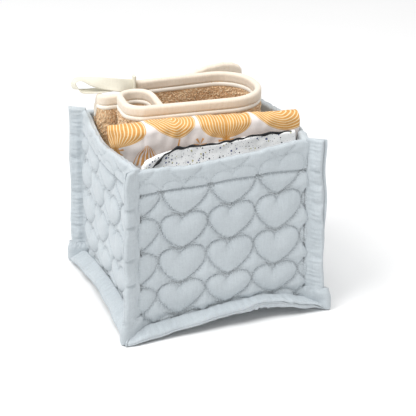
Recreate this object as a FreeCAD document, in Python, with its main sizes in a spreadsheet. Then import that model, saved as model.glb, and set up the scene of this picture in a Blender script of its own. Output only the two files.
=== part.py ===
import FreeCAD, Part
import math
import os
import Sketcher

# A soft quilted storage basket for sewing things, with the folded cloths it holds.
# Origin: centre of the square footprint, on the surface the basket stands on.
# +Z is up, the front wall faces -Y and the left wall faces -X. Millimetres.
#
# Each wall is a sandwich of outer cloth, wadding and lining. The walls meet in
# mitres, and the two sewn edges at each corner stand out as a two-layer seam.
# The lower edge of each wall is arched, so the basket stands on its corners.

Vec = FreeCAD.Vector
UP = Vec(0, 0, 1)

doc = FreeCAD.newDocument("sewing_basket")
sheet = doc.addObject("Spreadsheet::Sheet", "sizes")

DRIVING_SIZES = {
    # basket
    "span": 192.0,              # outer faces of opposite walls
    "rim": 190.0,               # height of the rim
    "foot": 10.5,               # lowest point of a wall, at its two corners
    "arch": 10.0,               # how far the middle of a wall's lower edge is raised
    "cloth": 1.0,               # outer cloth
    "wadding": 4.4,
    "lining": 1.0,
    "hem": 28.0,                # depth of the turned-in top hem
    "hem_cloth": 0.9,
    "turnover": 1.5,            # wadding stops this far below the rim
    "seam_width": 15.0,         # how far a corner seam stands out
    "seam_layer": 3.3,          # one layer of a seam
    "seam_slit": 0.3,           # gap between a seam's two layers
    "tab_tall": 24.0,           # the plain tab at the foot of a corner seam
    "tab_width": 18.0,
    "base_out": 14.0,           # how far a base seam stands out
    "base_drop": 7.0,           # and how far it drops on the way
    "base_half": 89.0,          # half its length
    # cloths
    "floor_gap": 0.3,           # between the floor and what lies on it
    "terry": 5.0,               # thickness of the terry cloth
    "bind_thick": 7.0,          # the bound edge
    "bind_tall": 12.0,
    "bind_cover": 3.0,          # cloth of the binding over the terry's top edge
    "cord_thick": 7.6,          # piping under the binding
    "cord_tall": 3.5,
    "front_top": 224.0,         # top of the towel's front fold
    "rear_top": 219.0,          # top of its rear fold
    "tape_wide": 13.0,
    "tape_thick": 1.2,
    "hanger_thick": 3.0,        # the upright tab that holds the tape's ends
    "hanger_wide": 8.0,
    "hanger_low": 212.0,
    "hanger_high": 236.0,
    "hanger_y": 66.0,
    "print_left": 30.0,         # thickness of the printed cloth at its left end
    "print_right": 16.0,
    "print_left_top": 206.0,
    "print_right_top": 214.0,
    "print_left_y": -27.0,
    "print_right_y": -50.0,
    "print_half": 87.0,
    "fleck_wide": 172.0,        # the speckled cloth
    "fleck_thick": 5.0,
    "fleck_top": 193.0,
    "fleck_corner": 25.0,
    "fleck_y": -73.5,
    "fleck_turn": 3.6,          # degrees about +Z
    "edge_inset": 4.0,          # its edging lies this far below the top
    "edge_tall": 2.0,
    "edge_proud": 0.8,
}

for row, (alias, value) in enumerate(DRIVING_SIZES.items(), start=1):
    cell = "B%d" % row
    sheet.set("A%d" % row, alias)
    sheet.set(cell, str(value))
    sheet.setAlias(cell, alias)

# Sizes that follow from the driving ones, worked out in the sheet itself.
DERIVED_SIZES = {
    "wall": "=cloth + wadding + lining",
    "inner": "=span - 2 * (cloth + wadding + lining)",
    "arch_radius": "=((span / 2)^2 + arch^2) / (2 * arch)",
    "floor_low": "=foot + arch",
    "floor_top": "=foot + arch + cloth + wadding + lining",
    "base_layer": "=seam_layer * sqrt(base_out^2 + base_drop^2) / base_out",
    "stand": "=foot + arch + cloth + wadding + lining + floor_gap",
}

for row, (alias, formula) in enumerate(DERIVED_SIZES.items(), start=len(DRIVING_SIZES) + 1):
    cell = "B%d" % row
    sheet.set("A%d" % row, alias)
    sheet.set(cell, formula)
    sheet.setAlias(cell, alias)

doc.recompute()

subparts = []


def size(alias):
    """The value of one named cell, in millimetres or degrees."""
    return float(sheet.get(alias))


def on_sheet(expression):
    """An expression with each alias written as a cell of the sheet."""
    words = expression.replace("(", " ( ").replace(")", " ) ").split()
    return " ".join("sizes." + word if is_alias(word) else word for word in words)


def is_alias(word):
    return word in DRIVING_SIZES or word in DERIVED_SIZES


def bind(obj, **expressions):
    """Bind properties to the sheet; Placement__Base__x means Placement.Base.x."""
    for name, expression in expressions.items():
        obj.setExpression(name.replace("__", "."), on_sheet(expression))


def add(kind, name, **expressions):
    """A document object whose sizes are bound to the sheet."""
    obj = doc.addObject(kind, name)
    bind(obj, **expressions)
    return obj


def keep(obj, node):
    """Name an object as one sub-part of the model."""
    obj.Label = node
    subparts.append(obj)
    return obj


def turned(angle, base=Vec(0, 0, 0), axis=UP):
    return FreeCAD.Placement(base, FreeCAD.Rotation(axis, angle))


def group(name, members):
    compound = doc.addObject("Part::Compound", name)
    compound.Links = members
    return compound


# ------------------------------------------------------------------ basket

SIDES = {"front": 0, "right": 90, "back": 180, "left": 270}
CORNERS = {"front_right": -45, "back_right": 45, "back_left": 135, "front_left": 225}


def mitred_layer(name, start, end, low, high):
    """One layer of the front wall: a slab with mitred ends, outer face at -Y."""
    wedge = add(
        "Part::Wedge", name,
        Xmin="- ( span / 2 - ( %s ) )" % start, Xmax="span / 2 - ( %s )" % start,
        X2min="- ( span / 2 - ( %s ) )" % end, X2max="span / 2 - ( %s )" % end,
        Ymin="- ( span / 2 ) + %s" % start, Ymax="- ( span / 2 ) + %s" % end,
        Zmin=low, Z2min=low, Zmax=high, Z2max=high)
    return wedge


def arch_tool(name):
    """The cylinder that arches a wall's lower edge."""
    cylinder = add(
        "Part::Cylinder", name,
        Radius="arch_radius", Height="4 * wall",
        Placement__Base__z="foot + arch - arch_radius",
        Placement__Base__y="2 * wall - span / 2")
    cylinder.Placement.Rotation = FreeCAD.Rotation(Vec(1, 0, 0), 90)
    return cylinder


def wall_layer(side, layer, start, end, high):
    """One arched layer of a wall, turned to its side of the basket."""
    node = side + "_" + layer
    cut = doc.addObject("Part::Cut", node)
    cut.Base = mitred_layer(node + "_slab", start, end, "foot", high)
    cut.Tool = arch_tool(node + "_arch")
    cut.Placement = turned(SIDES[side])
    return keep(cut, node)


def wall(side):
    wall_layer(side, "outer_cloth", "0", "cloth", "rim")
    wall_layer(side, "wadding", "cloth", "cloth + wadding", "rim - turnover")
    wall_layer(side, "lining", "cloth + wadding", "wall", "rim")
    facing = mitred_layer(side + "_hem_facing", "wall", "wall + hem_cloth", "rim - hem", "rim")
    facing.Placement = turned(SIDES[side])
    keep(facing, side + "_hem_facing")


def floor_layer(node, thickness, low):
    layer = add(
        "Part::Box", node,
        Length="inner", Width="inner", Height=thickness,
        Placement__Base__x="- inner / 2", Placement__Base__y="- inner / 2",
        Placement__Base__z=low)
    return keep(layer, node)


def at_corner(corner):
    """Origin on one corner of the walls, +X pointing diagonally out of the basket."""
    angle = CORNERS[corner]
    half = size("span") / 2
    side_x = math.copysign(half, math.cos(math.radians(angle)))
    side_y = math.copysign(half, math.sin(math.radians(angle)))
    return turned(angle, Vec(side_x, side_y, 0))


def corner_seam(corner):
    """The two cloth layers that stand out diagonally at one corner."""
    layers = []
    common = dict(Zmin="tab_tall", Z2min="tab_tall", Zmax="rim", Z2max="rim",
                  Xmax="seam_width", X2max="seam_width")
    layers.append(add(
        "Part::Wedge", corner + "_seam_layer_a",
        Ymin="seam_slit / 2", Xmin="- seam_slit / 2",
        Ymax="seam_layer", X2min="- seam_layer", **common))
    layers.append(add(
        "Part::Wedge", corner + "_seam_layer_b",
        Ymin="- seam_layer", Xmin="- seam_layer",
        Ymax="- seam_slit / 2", X2min="- seam_slit / 2", **common))
    seam = group(corner + "_corner_seam", layers)
    seam.Placement = at_corner(corner)
    return keep(seam, corner + "_corner_seam")


def sketch_on(body, name, role):
    """A sketch on one origin plane of its own body."""
    plane = [item for item in body.Origin.OriginFeatures if item.Role == role][0]
    sketch = body.newObject("Sketcher::SketchObject", name)
    sketch.AttachmentSupport = (plane, "")
    sketch.MapMode = "FlatFace"
    return sketch


def fix_point(sketch, geometry, vertex, across, along):
    """Hold one point of a sketch at two expressions measured from its origin."""
    for kind, expression in (("DistanceX", across), ("DistanceY", along)):
        value = size_of(expression)
        index = sketch.addConstraint(Sketcher.Constraint(kind, -1, 1, geometry, vertex, value))
        sketch.setExpression("Constraints[%d]" % index, on_sheet(expression))


def size_of(expression):
    """The present value of an expression on the sheet's aliases."""
    probe = doc.getObject("probe") or doc.addObject("App::FeaturePython", "probe")
    if "reading" not in probe.PropertiesList:
        probe.addProperty("App::PropertyFloat", "reading")
    probe.setExpression("reading", on_sheet(expression))
    probe.recompute()
    return probe.reading


def outline(sketch, corners):
    """A closed polygon through corners, each a pair of expressions."""
    points = [Vec(size_of(across), size_of(along), 0) for across, along in corners]
    count = len(points)
    for index in range(count):
        sketch.addGeometry(Part.LineSegment(points[index], points[(index + 1) % count]), False)
    for index in range(count):
        nxt = (index + 1) % count
        sketch.addConstraint(Sketcher.Constraint("Coincident", index, 2, nxt, 1))
    for index, (across, along) in enumerate(corners):
        fix_point(sketch, index, 1, across, along)


def corner_tab(corner):
    """The plain tab under a corner seam, which is the foot the basket stands on."""
    node = corner + "_corner_tab"
    body = doc.addObject("PartDesign::Body", node)
    sketch = sketch_on(body, node + "_outline", "XY_Plane")
    outline(sketch, [("0", "0"), ("- seam_layer", "- seam_layer"), ("tab_width", "- seam_layer"),
                     ("tab_width", "seam_layer"), ("- seam_layer", "seam_layer")])
    pad = body.newObject("PartDesign::Pad", node + "_pad")
    pad.Profile = sketch
    bind(pad, Length="tab_tall")
    body.Placement = at_corner(corner)
    return keep(body, node)


def arc_band(name, low, high):
    """An upright band that follows the arch of a wall's lower edge, in the XZ plane."""
    half = size("base_half")
    radius = size("arch_radius")
    centre_z = size("foot") + size("arch") - radius

    def arch_arc(offset):
        reach = radius + offset
        rise = centre_z + math.sqrt(reach * reach - half * half)
        return Part.Arc(Vec(-half, 0, rise), Vec(0, 0, centre_z + reach), Vec(half, 0, rise))

    lower = arch_arc(low)
    upper = arch_arc(high)
    edges = [lower.toShape(),
             Part.LineSegment(lower.EndPoint, upper.EndPoint).toShape(),
             upper.toShape(),
             Part.LineSegment(upper.StartPoint, lower.StartPoint).toShape()]
    band = doc.addObject("Part::Feature", name)
    band.Shape = Part.Face(Part.Wire(Part.__sortEdges__(edges)))
    return band


def base_seam(side, bands):
    """The two layers that stand out along the foot of one wall."""
    layers = []
    for letter, band in zip("ab", bands):
        layer = add("Part::Extrusion", "%s_base_layer_%s" % (side, letter))
        layer.Base = band
        layer.DirMode = "Custom"
        layer.Dir = Vec(0, -size("base_out"), -size("base_drop"))
        layer.LengthFwd = math.hypot(size("base_out"), size("base_drop"))
        layer.Solid = True
        layer.Placement = turned(0, Vec(0, -size("span") / 2, 0))
        layers.append(layer)
    seam = group(side + "_base_seam", layers)
    seam.Placement = turned(SIDES[side])
    return keep(seam, side + "_base_seam")


for side in SIDES:
    wall(side)

floor_layer("floor_outer_cloth", "cloth", "floor_low")
floor_layer("floor_wadding", "wadding", "floor_low + cloth")
floor_layer("floor_lining", "lining", "floor_low + cloth + wadding")

for corner in CORNERS:
    corner_seam(corner)
    corner_tab(corner)

layer_height = size("base_layer")
slit = size("seam_slit") / 2
base_bands = [arc_band("base_band_upper", slit, layer_height),
              arc_band("base_band_lower", -layer_height, -slit)]
for side in SIDES:
    base_seam(side, base_bands)


# ------------------------------------------------------------- terry towel

# Plan of the towel's two folds: corner points and the radius at each.
FRONT_FOLD = [(-39.0, 69.5), (81.5, 67.0), (81.5, -25.0), (-78.0, -9.0), (-64.0, 44.0),
              (-43.0, 42.0), (-40.5, -3.0)]
FRONT_RADII = [38.0, 42.0, 15.0, 12.0, 10.5]
REAR_FOLD = [(-60.0, 50.0), (-85.0, 50.0), (-85.0, 82.0), (30.0, 81.0), (85.0, 83.0)]
REAR_RADII = [13.0, 13.0, 60.0]


def rounded_path(name, points, radii):
    """An open path in plan: straight runs joined by tangent arcs."""
    edges = []
    start = Vec(points[0][0], points[0][1], 0)
    for before, corner, after, radius in zip(points, points[1:], points[2:], radii):
        corner = Vec(corner[0], corner[1], 0)
        back = (Vec(before[0], before[1], 0) - corner).normalize()
        ahead = (Vec(after[0], after[1], 0) - corner).normalize()
        half_turn = (math.pi - back.getAngle(ahead)) / 2
        reach = radius * math.tan(half_turn)
        middle = (back + ahead).normalize()
        centre = corner + middle * (radius / math.cos(half_turn))
        enter = corner + back * reach
        leave = corner + ahead * reach
        edges.append(Part.LineSegment(start, enter).toShape())
        edges.append(Part.Arc(enter, centre - middle * radius, leave).toShape())
        start = leave
    edges.append(Part.LineSegment(start, Vec(points[-1][0], points[-1][1], 0)).toShape())
    path = doc.addObject("Part::Feature", name)
    path.Shape = Part.Wire(edges)
    return path


def standing_strip(name, path, thick, low, high):
    """A strip of cloth that stands on edge along a path."""
    plan = add("Part::Offset2D", name + "_plan", Value="%s / 2" % thick)
    plan.Source = path
    plan.Mode = "Pipe"
    plan.Fill = True
    strip = add("Part::Extrusion", name, LengthFwd="%s - ( %s )" % (high, low),
                Placement__Base__z=low)
    strip.Base = plan
    strip.DirMode = "Custom"
    strip.Dir = UP
    strip.Solid = True
    return strip


def cut(name, base, tool):
    result = doc.addObject("Part::Cut", name)
    result.Base = base
    result.Tool = tool
    return result


def towel_fold(which, path, top):
    """Terry standing on edge, its bound top edge, and the piping under that."""
    terry = standing_strip("towel_%s_terry" % which, path, "terry", "stand",
                           "%s - bind_cover" % top)
    block = standing_strip("%s_bind_block" % which, path, "bind_thick",
                           "%s - bind_tall" % top, top)
    binding = cut("towel_%s_binding" % which, block, terry)
    ring = standing_strip("%s_cord_block" % which, path, "cord_thick",
                          "%s - bind_tall - cord_tall" % top, "%s - bind_tall" % top)
    piping = cut("towel_%s_piping" % which, ring, terry)
    keep(terry, "towel_%s_terry" % which)
    keep(binding, "towel_%s_binding" % which)
    keep(piping, "towel_%s_piping" % which)


towel_fold("front", rounded_path("front_fold_plan", FRONT_FOLD, FRONT_RADII), "front_top")
towel_fold("rear", rounded_path("rear_fold_plan", REAR_FOLD, REAR_RADII), "rear_top")

# The upright tab at the towel's corner, where the tape's two ends are sewn.
tab = add("Part::Box", "hanger_tab",
          Length="hanger_thick", Width="hanger_wide", Height="hanger_high - hanger_low",
          Placement__Base__y="hanger_y - hanger_wide / 2", Placement__Base__z="hanger_low")
tab.Placement.Base.x = FRONT_FOLD[0][0] - size("bind_thick") / 2 - size("hanger_thick")
keep(tab, "hanger_tab")

# The tape loop: one strip folded back on itself in a teardrop, seen from the front.
# Points are X and Z of the tape's middle line from its upper end round to its lower one.
LOOP_ROUTE = [(-49.0, 225.4), (-70.0, 228.0), (-108.0, 237.0), (-111.0, 223.4), (-90.0, 221.6),
              (-49.0, 222.6)]
LOOP_RADII = [60.0, 5.5, 4.8, 40.0]


def hanging_loop():
    route = rounded_path("loop_route", LOOP_ROUTE, LOOP_RADII)
    plan = add("Part::Offset2D", "loop_outline", Value="tape_thick / 2")
    plan.Source = route
    plan.Mode = "Pipe"
    plan.Fill = True
    loop = add("Part::Extrusion", "hanging_loop", LengthFwd="tape_wide")
    loop.Base = plan
    loop.DirMode = "Custom"
    loop.Dir = UP
    loop.Solid = True
    front_to_back = FreeCAD.Rotation(Vec(1, 0, 0), 90)
    back_edge = size("hanger_y") + size("tape_wide") / 2
    loop.Placement = FreeCAD.Placement(Vec(0, back_edge, 0), front_to_back)
    return keep(loop, "hanging_loop")


hanging_loop()


# ------------------------------------------------------------ other cloths

def arch_profile(sketch, middle, width, top):
    """An upright profile with a round top, for the printed cloth's fold."""
    half = size_of("%s / 2" % width)
    centre_y = size_of(middle)
    low = size("stand")
    spring = size_of(top) - half
    left = centre_y - half
    right = centre_y + half
    sketch.addGeometry(Part.LineSegment(Vec(left, low, 0), Vec(right, low, 0)), False)
    sketch.addGeometry(Part.LineSegment(Vec(right, low, 0), Vec(right, spring, 0)), False)
    circle = Part.Circle(Vec(centre_y, spring, 0), UP, half)
    sketch.addGeometry(Part.ArcOfCircle(circle, 0, math.pi), False)
    sketch.addGeometry(Part.LineSegment(Vec(left, spring, 0), Vec(left, low, 0)), False)
    for first, point, second, other in ((0, 2, 1, 1), (1, 2, 2, 1), (2, 2, 3, 1), (3, 2, 0, 1)):
        sketch.addConstraint(Sketcher.Constraint("Coincident", first, point, second, other))
    fix_point(sketch, 0, 1, "%s - %s / 2" % (middle, width), "stand")
    fix_point(sketch, 0, 2, "%s + %s / 2" % (middle, width), "stand")
    fix_point(sketch, 2, 3, middle, "%s - %s / 2" % (top, width))


def printed_cloth():
    """The printed cloth, folded upright, thicker at its left end."""
    body = doc.addObject("PartDesign::Body", "printed_cloth")
    profiles = []
    ends = (("left", "print_left", "print_left_top", "- print_half"),
            ("right", "print_right", "print_right_top", "print_half"))
    for end, width, top, offset in ends:
        sketch = sketch_on(body, "printed_cloth_%s_end" % end, "YZ_Plane")
        bind(sketch, AttachmentOffset__Base__z=offset)
        arch_profile(sketch, "print_%s_y" % end, width, top)
        profiles.append(sketch)
    doc.recompute()
    loft = body.newObject("PartDesign::AdditiveLoft", "printed_cloth_fold")
    loft.Profile = profiles[0]
    loft.Sections = [profiles[1]]
    loft.Ruled = True
    return keep(body, "printed_cloth")


def speckled_cloth():
    """The thin speckled cloth against the front wall, one top corner rounded."""
    body = doc.addObject("PartDesign::Body", "speckled_cloth")
    sketch = sketch_on(body, "speckled_cloth_outline", "XZ_Plane")
    outline(sketch, [("- fleck_wide / 2", "stand"), ("fleck_wide / 2", "stand"),
                     ("fleck_wide / 2", "fleck_top"), ("- fleck_wide / 2", "fleck_top")])
    pad = body.newObject("PartDesign::Pad", "speckled_cloth_pad")
    pad.Profile = sketch
    pad.SideType = "Symmetric"
    bind(pad, Length="fleck_thick")
    doc.recompute()
    left_top = [number for number, edge in enumerate(pad.Shape.Edges, start=1)
                if edge.BoundBox.XMax < 0 and edge.BoundBox.ZMin > size("fleck_top") - 1]
    fillet = body.newObject("PartDesign::Fillet", "speckled_cloth_corner")
    fillet.Base = (pad, ["Edge%d" % number for number in left_top])
    bind(fillet, Radius="fleck_corner")
    body.Placement = turned(size("fleck_turn"), Vec(0, size("fleck_y"), 0))
    keep(body, "speckled_cloth")

    edging = add("Part::Box", "speckled_cloth_edging",
                 Length="fleck_wide - fleck_corner", Width="edge_proud", Height="edge_tall")
    inset = Vec(-size("fleck_wide") / 2 + size("fleck_corner"),
                -size("fleck_thick") / 2 - size("edge_proud"),
                size("fleck_top") - size("edge_inset") - size("edge_tall"))
    edging.Placement = turned(size("fleck_turn"), Vec(0, size("fleck_y"), 0)).multiply(
        FreeCAD.Placement(inset, FreeCAD.Rotation()))
    keep(edging, "speckled_cloth_edging")


printed_cloth()
speckled_cloth()


# ------------------------------------------------------------ test and write

doc.recompute()
for obj in doc.Objects:
    if "Invalid" in obj.State or "Error" in obj.State:
        raise RuntimeError("%s failed to recompute: %s" % (obj.Name, obj.State))

os.makedirs("parts", exist_ok=True)
for part in subparts:
    shape = part.Shape
    if shape.isNull() or not shape.isValid() or not shape.Solids:
        raise RuntimeError("%s has no valid solid" % part.Label)
    shape.exportStep(os.path.join("parts", part.Label + ".step"))
    box = shape.BoundBox
    print("%-26s solids %d  volume %9.0f  x %7.1f %7.1f  y %7.1f %7.1f  z %7.1f %7.1f" % (
        part.Label, len(shape.Solids), shape.Volume,
        box.XMin, box.XMax, box.YMin, box.YMax, box.ZMin, box.ZMax))
print("sub-parts:", len(subparts))
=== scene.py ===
import math
import bpy
import numpy as np
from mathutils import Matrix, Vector


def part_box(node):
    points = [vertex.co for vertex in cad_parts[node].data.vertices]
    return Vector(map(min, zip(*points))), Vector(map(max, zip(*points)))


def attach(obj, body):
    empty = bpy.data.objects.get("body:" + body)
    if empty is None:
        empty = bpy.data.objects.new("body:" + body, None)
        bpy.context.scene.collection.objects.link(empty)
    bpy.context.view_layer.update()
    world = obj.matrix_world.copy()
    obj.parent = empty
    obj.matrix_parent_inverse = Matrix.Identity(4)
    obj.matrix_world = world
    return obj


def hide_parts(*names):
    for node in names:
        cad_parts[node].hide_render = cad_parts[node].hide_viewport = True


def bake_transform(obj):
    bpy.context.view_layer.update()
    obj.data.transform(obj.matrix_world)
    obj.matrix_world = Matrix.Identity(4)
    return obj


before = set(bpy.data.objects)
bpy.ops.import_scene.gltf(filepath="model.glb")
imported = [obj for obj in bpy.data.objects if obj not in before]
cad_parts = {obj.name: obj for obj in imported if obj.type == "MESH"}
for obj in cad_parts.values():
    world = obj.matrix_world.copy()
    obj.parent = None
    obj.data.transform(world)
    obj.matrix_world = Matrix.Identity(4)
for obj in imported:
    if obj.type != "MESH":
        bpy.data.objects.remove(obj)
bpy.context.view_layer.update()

# A quilted sewing basket with the cloths folded in it. Lengths are millimetres,
# turned to Blender's metres when a mesh is made. +Z is up and the front is -Y.

MM = 0.001
TAU = 2 * math.pi


def cad(node):
    """Lowest and highest corner of a CAD node, in millimetres."""
    low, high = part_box(node)
    return np.array(low) / MM, np.array(high) / MM


OUTER_LOW, OUTER_HIGH = cad("front_outer_cloth")
HALF = -OUTER_LOW[1]                               # outer face of each wall, from the middle
FOOT = OUTER_LOW[2]                                # lower edge of a wall at its corners
RIM = OUTER_HIGH[2]
WALL = HALF + cad("front_lining")[1][1]            # thickness of a wall
HEM_FACE = cad("front_hem_facing")
HEM_CLOTH = HALF + HEM_FACE[1][1] - WALL
HEM_LOW = HEM_FACE[0][2]
FLOOR_LOW, FLOOR_HIGH = cad("floor_outer_cloth")[0][2], cad("floor_lining")[1][2]
ARCH = FLOOR_LOW - FOOT
TAB_TOP = cad("front_left_corner_tab")[1][2]

UP = np.array([0.0, 0.0, 1.0])
SIDES = {"front": 0, "right": 90, "back": 180, "left": 270}      # degrees turned from the front
CORNERS = {"front_right": -45, "back_right": 45, "back_left": 135, "front_left": 225}  # from +X
CORNER_WAYS = {"front_right": (1, -1), "back_right": (1, 1),
               "back_left": (-1, 1), "front_left": (-1, -1)}

# How far the soft basket's feet have moved from where the frame has them, in x and y.
FEET_APART = {"front_left": (-5.0, -3.2), "front_right": (2.0, -3.0), "back_left": (-3.0, 0.0)}


# ------------------------------------------------------------------ numbers

def smooth(t):
    """0 below 0 and 1 above 1, with a soft rise between them."""
    t = np.clip(t, 0.0, 1.0)
    return t * t * (3 - 2 * t)


def through(points, x):
    """A soft line through a few (x, value) points, level at each of them."""
    xs, values = np.array(points, float).T
    x = np.asarray(x, float)
    span = np.clip(np.searchsorted(xs, x) - 1, 0, len(xs) - 2)
    share = smooth((x - xs[span]) / (xs[span + 1] - xs[span]))
    return values[span] + (values[span + 1] - values[span]) * share


def rounded(t, least=0.0):
    """A quarter circle's rise from 0 to 1 as t goes from 0 to 1, with a floor of sqrt(least)."""
    return np.sqrt(np.clip(1 - (1 - np.clip(t, 0, 1)) ** 2, least, 1))


def round_off(t, near, far):
    """Share of a pad's thickness across it: rounded at both of its edges."""
    return rounded(t / near) * rounded((1 - t) / far)


def dome(x, centre, width):
    """A bell, 1 high at its centre."""
    return np.exp(-((np.asarray(x, float) - centre) / width) ** 2)


def waves(seed, length, count=9):
    """A smooth random field of unit size whose waves are about this long."""
    rng = np.random.default_rng(seed)
    angles = rng.uniform(0, TAU, count)
    pace = TAU / length * rng.uniform(0.6, 1.5, count)
    phases = rng.uniform(0, TAU, count)

    def field(x, y=0.0):
        total = 0.0
        for angle, k, phase in zip(angles, pace, phases):
            total = total + np.cos(k * (x * math.cos(angle) + y * math.sin(angle)) + phase)
        return total * math.sqrt(2 / count)
    return field


def turn(points, degrees):
    """Points turned about the vertical axis."""
    c, s = math.cos(math.radians(degrees)), math.sin(math.radians(degrees))
    x, y, z = np.moveaxis(points, -1, 0)
    return np.stack([x * c - y * s, x * s + y * c, z], axis=-1)


def unit(vectors):
    """The same directions, one unit long."""
    return vectors / np.maximum(np.linalg.norm(vectors, axis=-1, keepdims=True), 1e-9)


def grid_normals(grid):
    """Unit normals at the points of a grid."""
    return unit(np.cross(np.gradient(grid, axis=0), np.gradient(grid, axis=1)))


def eased(count, ends=1.0):
    """0 to 1 in count steps, closer together at both ends as ends goes to 1."""
    even = np.linspace(0, 1, count)
    return even + ends * (0.5 - 0.5 * np.cos(math.pi * even) - even)


def averaged(grid, rounds, own):
    """A grid blurred by averaging each inner point's neighbours, with own times the point."""
    for _ in range(rounds):
        total = own * grid[1:-1, 1:-1] + grid[2:, 1:-1] + grid[:-2, 1:-1]
        grid[1:-1, 1:-1] = (total + grid[1:-1, 2:] + grid[1:-1, :-2]) / (4 + own)
    return grid


def line_length(line):
    """Distance along a line at each of its points."""
    return np.concatenate([[0], np.cumsum(np.linalg.norm(np.diff(line, axis=0), axis=1))])


def points_along(line, length, places):
    """Points of a line at these distances along it."""
    return np.stack([np.interp(places, length, line[:, k]) for k in range(line.shape[1])], axis=-1)


# ------------------------------------------------------------------- meshes

def mesh_object(name, points, faces, uv=None, fields=None):
    """A smooth-shaded mesh object from points in millimetres."""
    mesh = bpy.data.meshes.new(name)
    mesh.from_pydata((np.asarray(points).reshape(-1, 3) * MM).tolist(), [], faces)
    if uv is not None:
        layer = mesh.uv_layers.new(name="cloth")
        corners = np.empty(len(mesh.loops), np.int32)
        mesh.loops.foreach_get("vertex_index", corners)
        layer.data.foreach_set("uv", (np.asarray(uv)[corners] * MM).astype(np.float32).ravel())
    for field, values in (fields or {}).items():
        attribute = mesh.attributes.new(field, "FLOAT", "POINT")
        attribute.data.foreach_set("value", np.asarray(values, np.float32).ravel())
    mesh.shade_smooth()
    obj = bpy.data.objects.new(name, mesh)
    bpy.context.scene.collection.objects.link(obj)
    return obj


def grid_faces(nu, nv, first=0, flip=False):
    """Quads between the points of a grid whose first point has this index."""
    i, j = np.meshgrid(np.arange(nu - 1), np.arange(nv - 1), indexing="ij")
    a = first + i * nv + j
    quads = np.stack([a, a + nv, a + nv + 1, a + 1], axis=-1).reshape(-1, 4)
    return quads[:, ::-1] if flip else quads


def rim_faces(nu, nv, first, second):
    """Quads that join the borders of two grids of the same size."""
    index = np.arange(nu * nv).reshape(nu, nv)
    border = np.concatenate([index[:-1, 0], index[-1, :-1], index[:0:-1, -1], index[0, :0:-1]])
    ahead = np.roll(border, -1)
    return np.stack([border + first, border + second, ahead + second, ahead + first], axis=-1)


def shell_parts(upper, lower):
    """Points and faces of a closed shell between two grids; upper is the outer face."""
    nu, nv = upper.shape[:2]
    points = np.concatenate([upper.reshape(-1, 3), lower.reshape(-1, 3)])
    faces = np.concatenate([grid_faces(nu, nv), grid_faces(nu, nv, nu * nv, flip=True),
                            rim_faces(nu, nv, 0, nu * nv)])
    return points, faces


def join_parts(parts):
    """Points and faces of several parts, as one part."""
    points, faces, first = [], [], 0
    for some_points, some_faces in parts:
        points.append(some_points)
        faces.append(some_faces + first)
        first += len(some_points)
    return np.concatenate(points), np.concatenate(faces)


def shell(name, upper, lower, flat_uv, fields=None):
    """One closed sheet or pad; flat_uv says where each grid point was on the flat cloth."""
    points, faces = shell_parts(upper, lower)
    uv = np.concatenate([flat_uv.reshape(-1, 2)] * 2)
    return mesh_object(name, points, faces.tolist(), uv, fields)


def tubes(name, points, uv):
    """Short closed tubes, one in each row of points: five rings of four points."""
    faces = []
    for ring in range(4):
        for k in range(4):
            a, b = ring * 4 + k, ring * 4 + (k + 1) % 4
            faces.append([a, b, b + 4, a + 4])
    faces += [[3, 2, 1, 0], [16, 17, 18, 19]]
    first = np.arange(len(points))[:, None, None] * 20
    return mesh_object(name, points, (np.array(faces) + first).reshape(-1, 4).tolist(), uv)


def finished(obj, body, slot, material, *nodes):
    """Give a piece its material and its CAD body, and hide the nodes it stands for; slot is not used."""
    obj.data.materials.append(material)
    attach(obj, body)
    if nodes:
        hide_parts(*nodes)


# ---------------------------------------------------------------- materials

class Value:
    """A shader value that can be used in ordinary arithmetic."""

    def __init__(self, tree, socket):
        self.tree = tree
        self.socket = socket

    def math(self, operation, *others):
        node = self.tree.nodes.new("ShaderNodeMath")
        node.operation = operation
        for place, item in zip(node.inputs, (self,) + others):
            plug(self.tree, place, item)
        return Value(self.tree, node.outputs[0])

    def __add__(self, other):
        return self.math("ADD", other)

    def __sub__(self, other):
        return self.math("SUBTRACT", other)

    def __rsub__(self, other):
        return (self * -1.0) + other

    def __mul__(self, other):
        return self.math("MULTIPLY", other)

    def __truediv__(self, other):
        return self.math("DIVIDE", other)

    def __pow__(self, other):
        return self.math("POWER", other)

    __radd__ = __add__
    __rmul__ = __mul__

    def step(self, start, end):
        """0 below start, 1 above end, smooth between; falls if end is below start."""
        node = self.tree.nodes.new("ShaderNodeMapRange")
        node.interpolation_type = "SMOOTHSTEP"
        low, high = min(start, end), max(start, end)
        plug(self.tree, node.inputs["Value"], self)
        node.inputs["From Min"].default_value = low
        node.inputs["From Max"].default_value = high
        node.inputs["To Min"].default_value = 0.0 if start < end else 1.0
        node.inputs["To Max"].default_value = 1.0 if start < end else 0.0
        return Value(self.tree, node.outputs["Result"])


def plug(tree, place, item):
    """Link a value to a socket, or set the socket to a number."""
    if isinstance(item, Value):
        tree.links.new(item.socket, place)
    else:
        place.default_value = item


def cloth_material(name, roughness, sheen, sheen_roughness=0.5, specular=0.3):
    """A new Principled material, with its tree and its shader."""
    material = bpy.data.materials.new(name)
    material.use_nodes = True
    tree = material.node_tree
    shader = tree.nodes["Principled BSDF"]
    shader.inputs["Roughness"].default_value = roughness
    shader.inputs["Specular IOR Level"].default_value = specular
    shader.inputs["Sheen Weight"].default_value = sheen
    shader.inputs["Sheen Roughness"].default_value = sheen_roughness
    return material, tree, shader


def flat_place(tree):
    """Millimetres across and along the flat cloth."""
    node = tree.nodes.new("ShaderNodeUVMap")
    node.uv_map = "cloth"
    split = tree.nodes.new("ShaderNodeSeparateXYZ")
    tree.links.new(node.outputs["UV"], split.inputs[0])
    across = Value(tree, split.outputs[0]) * 1000.0
    along = Value(tree, split.outputs[1]) * 1000.0
    return across, along


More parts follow.
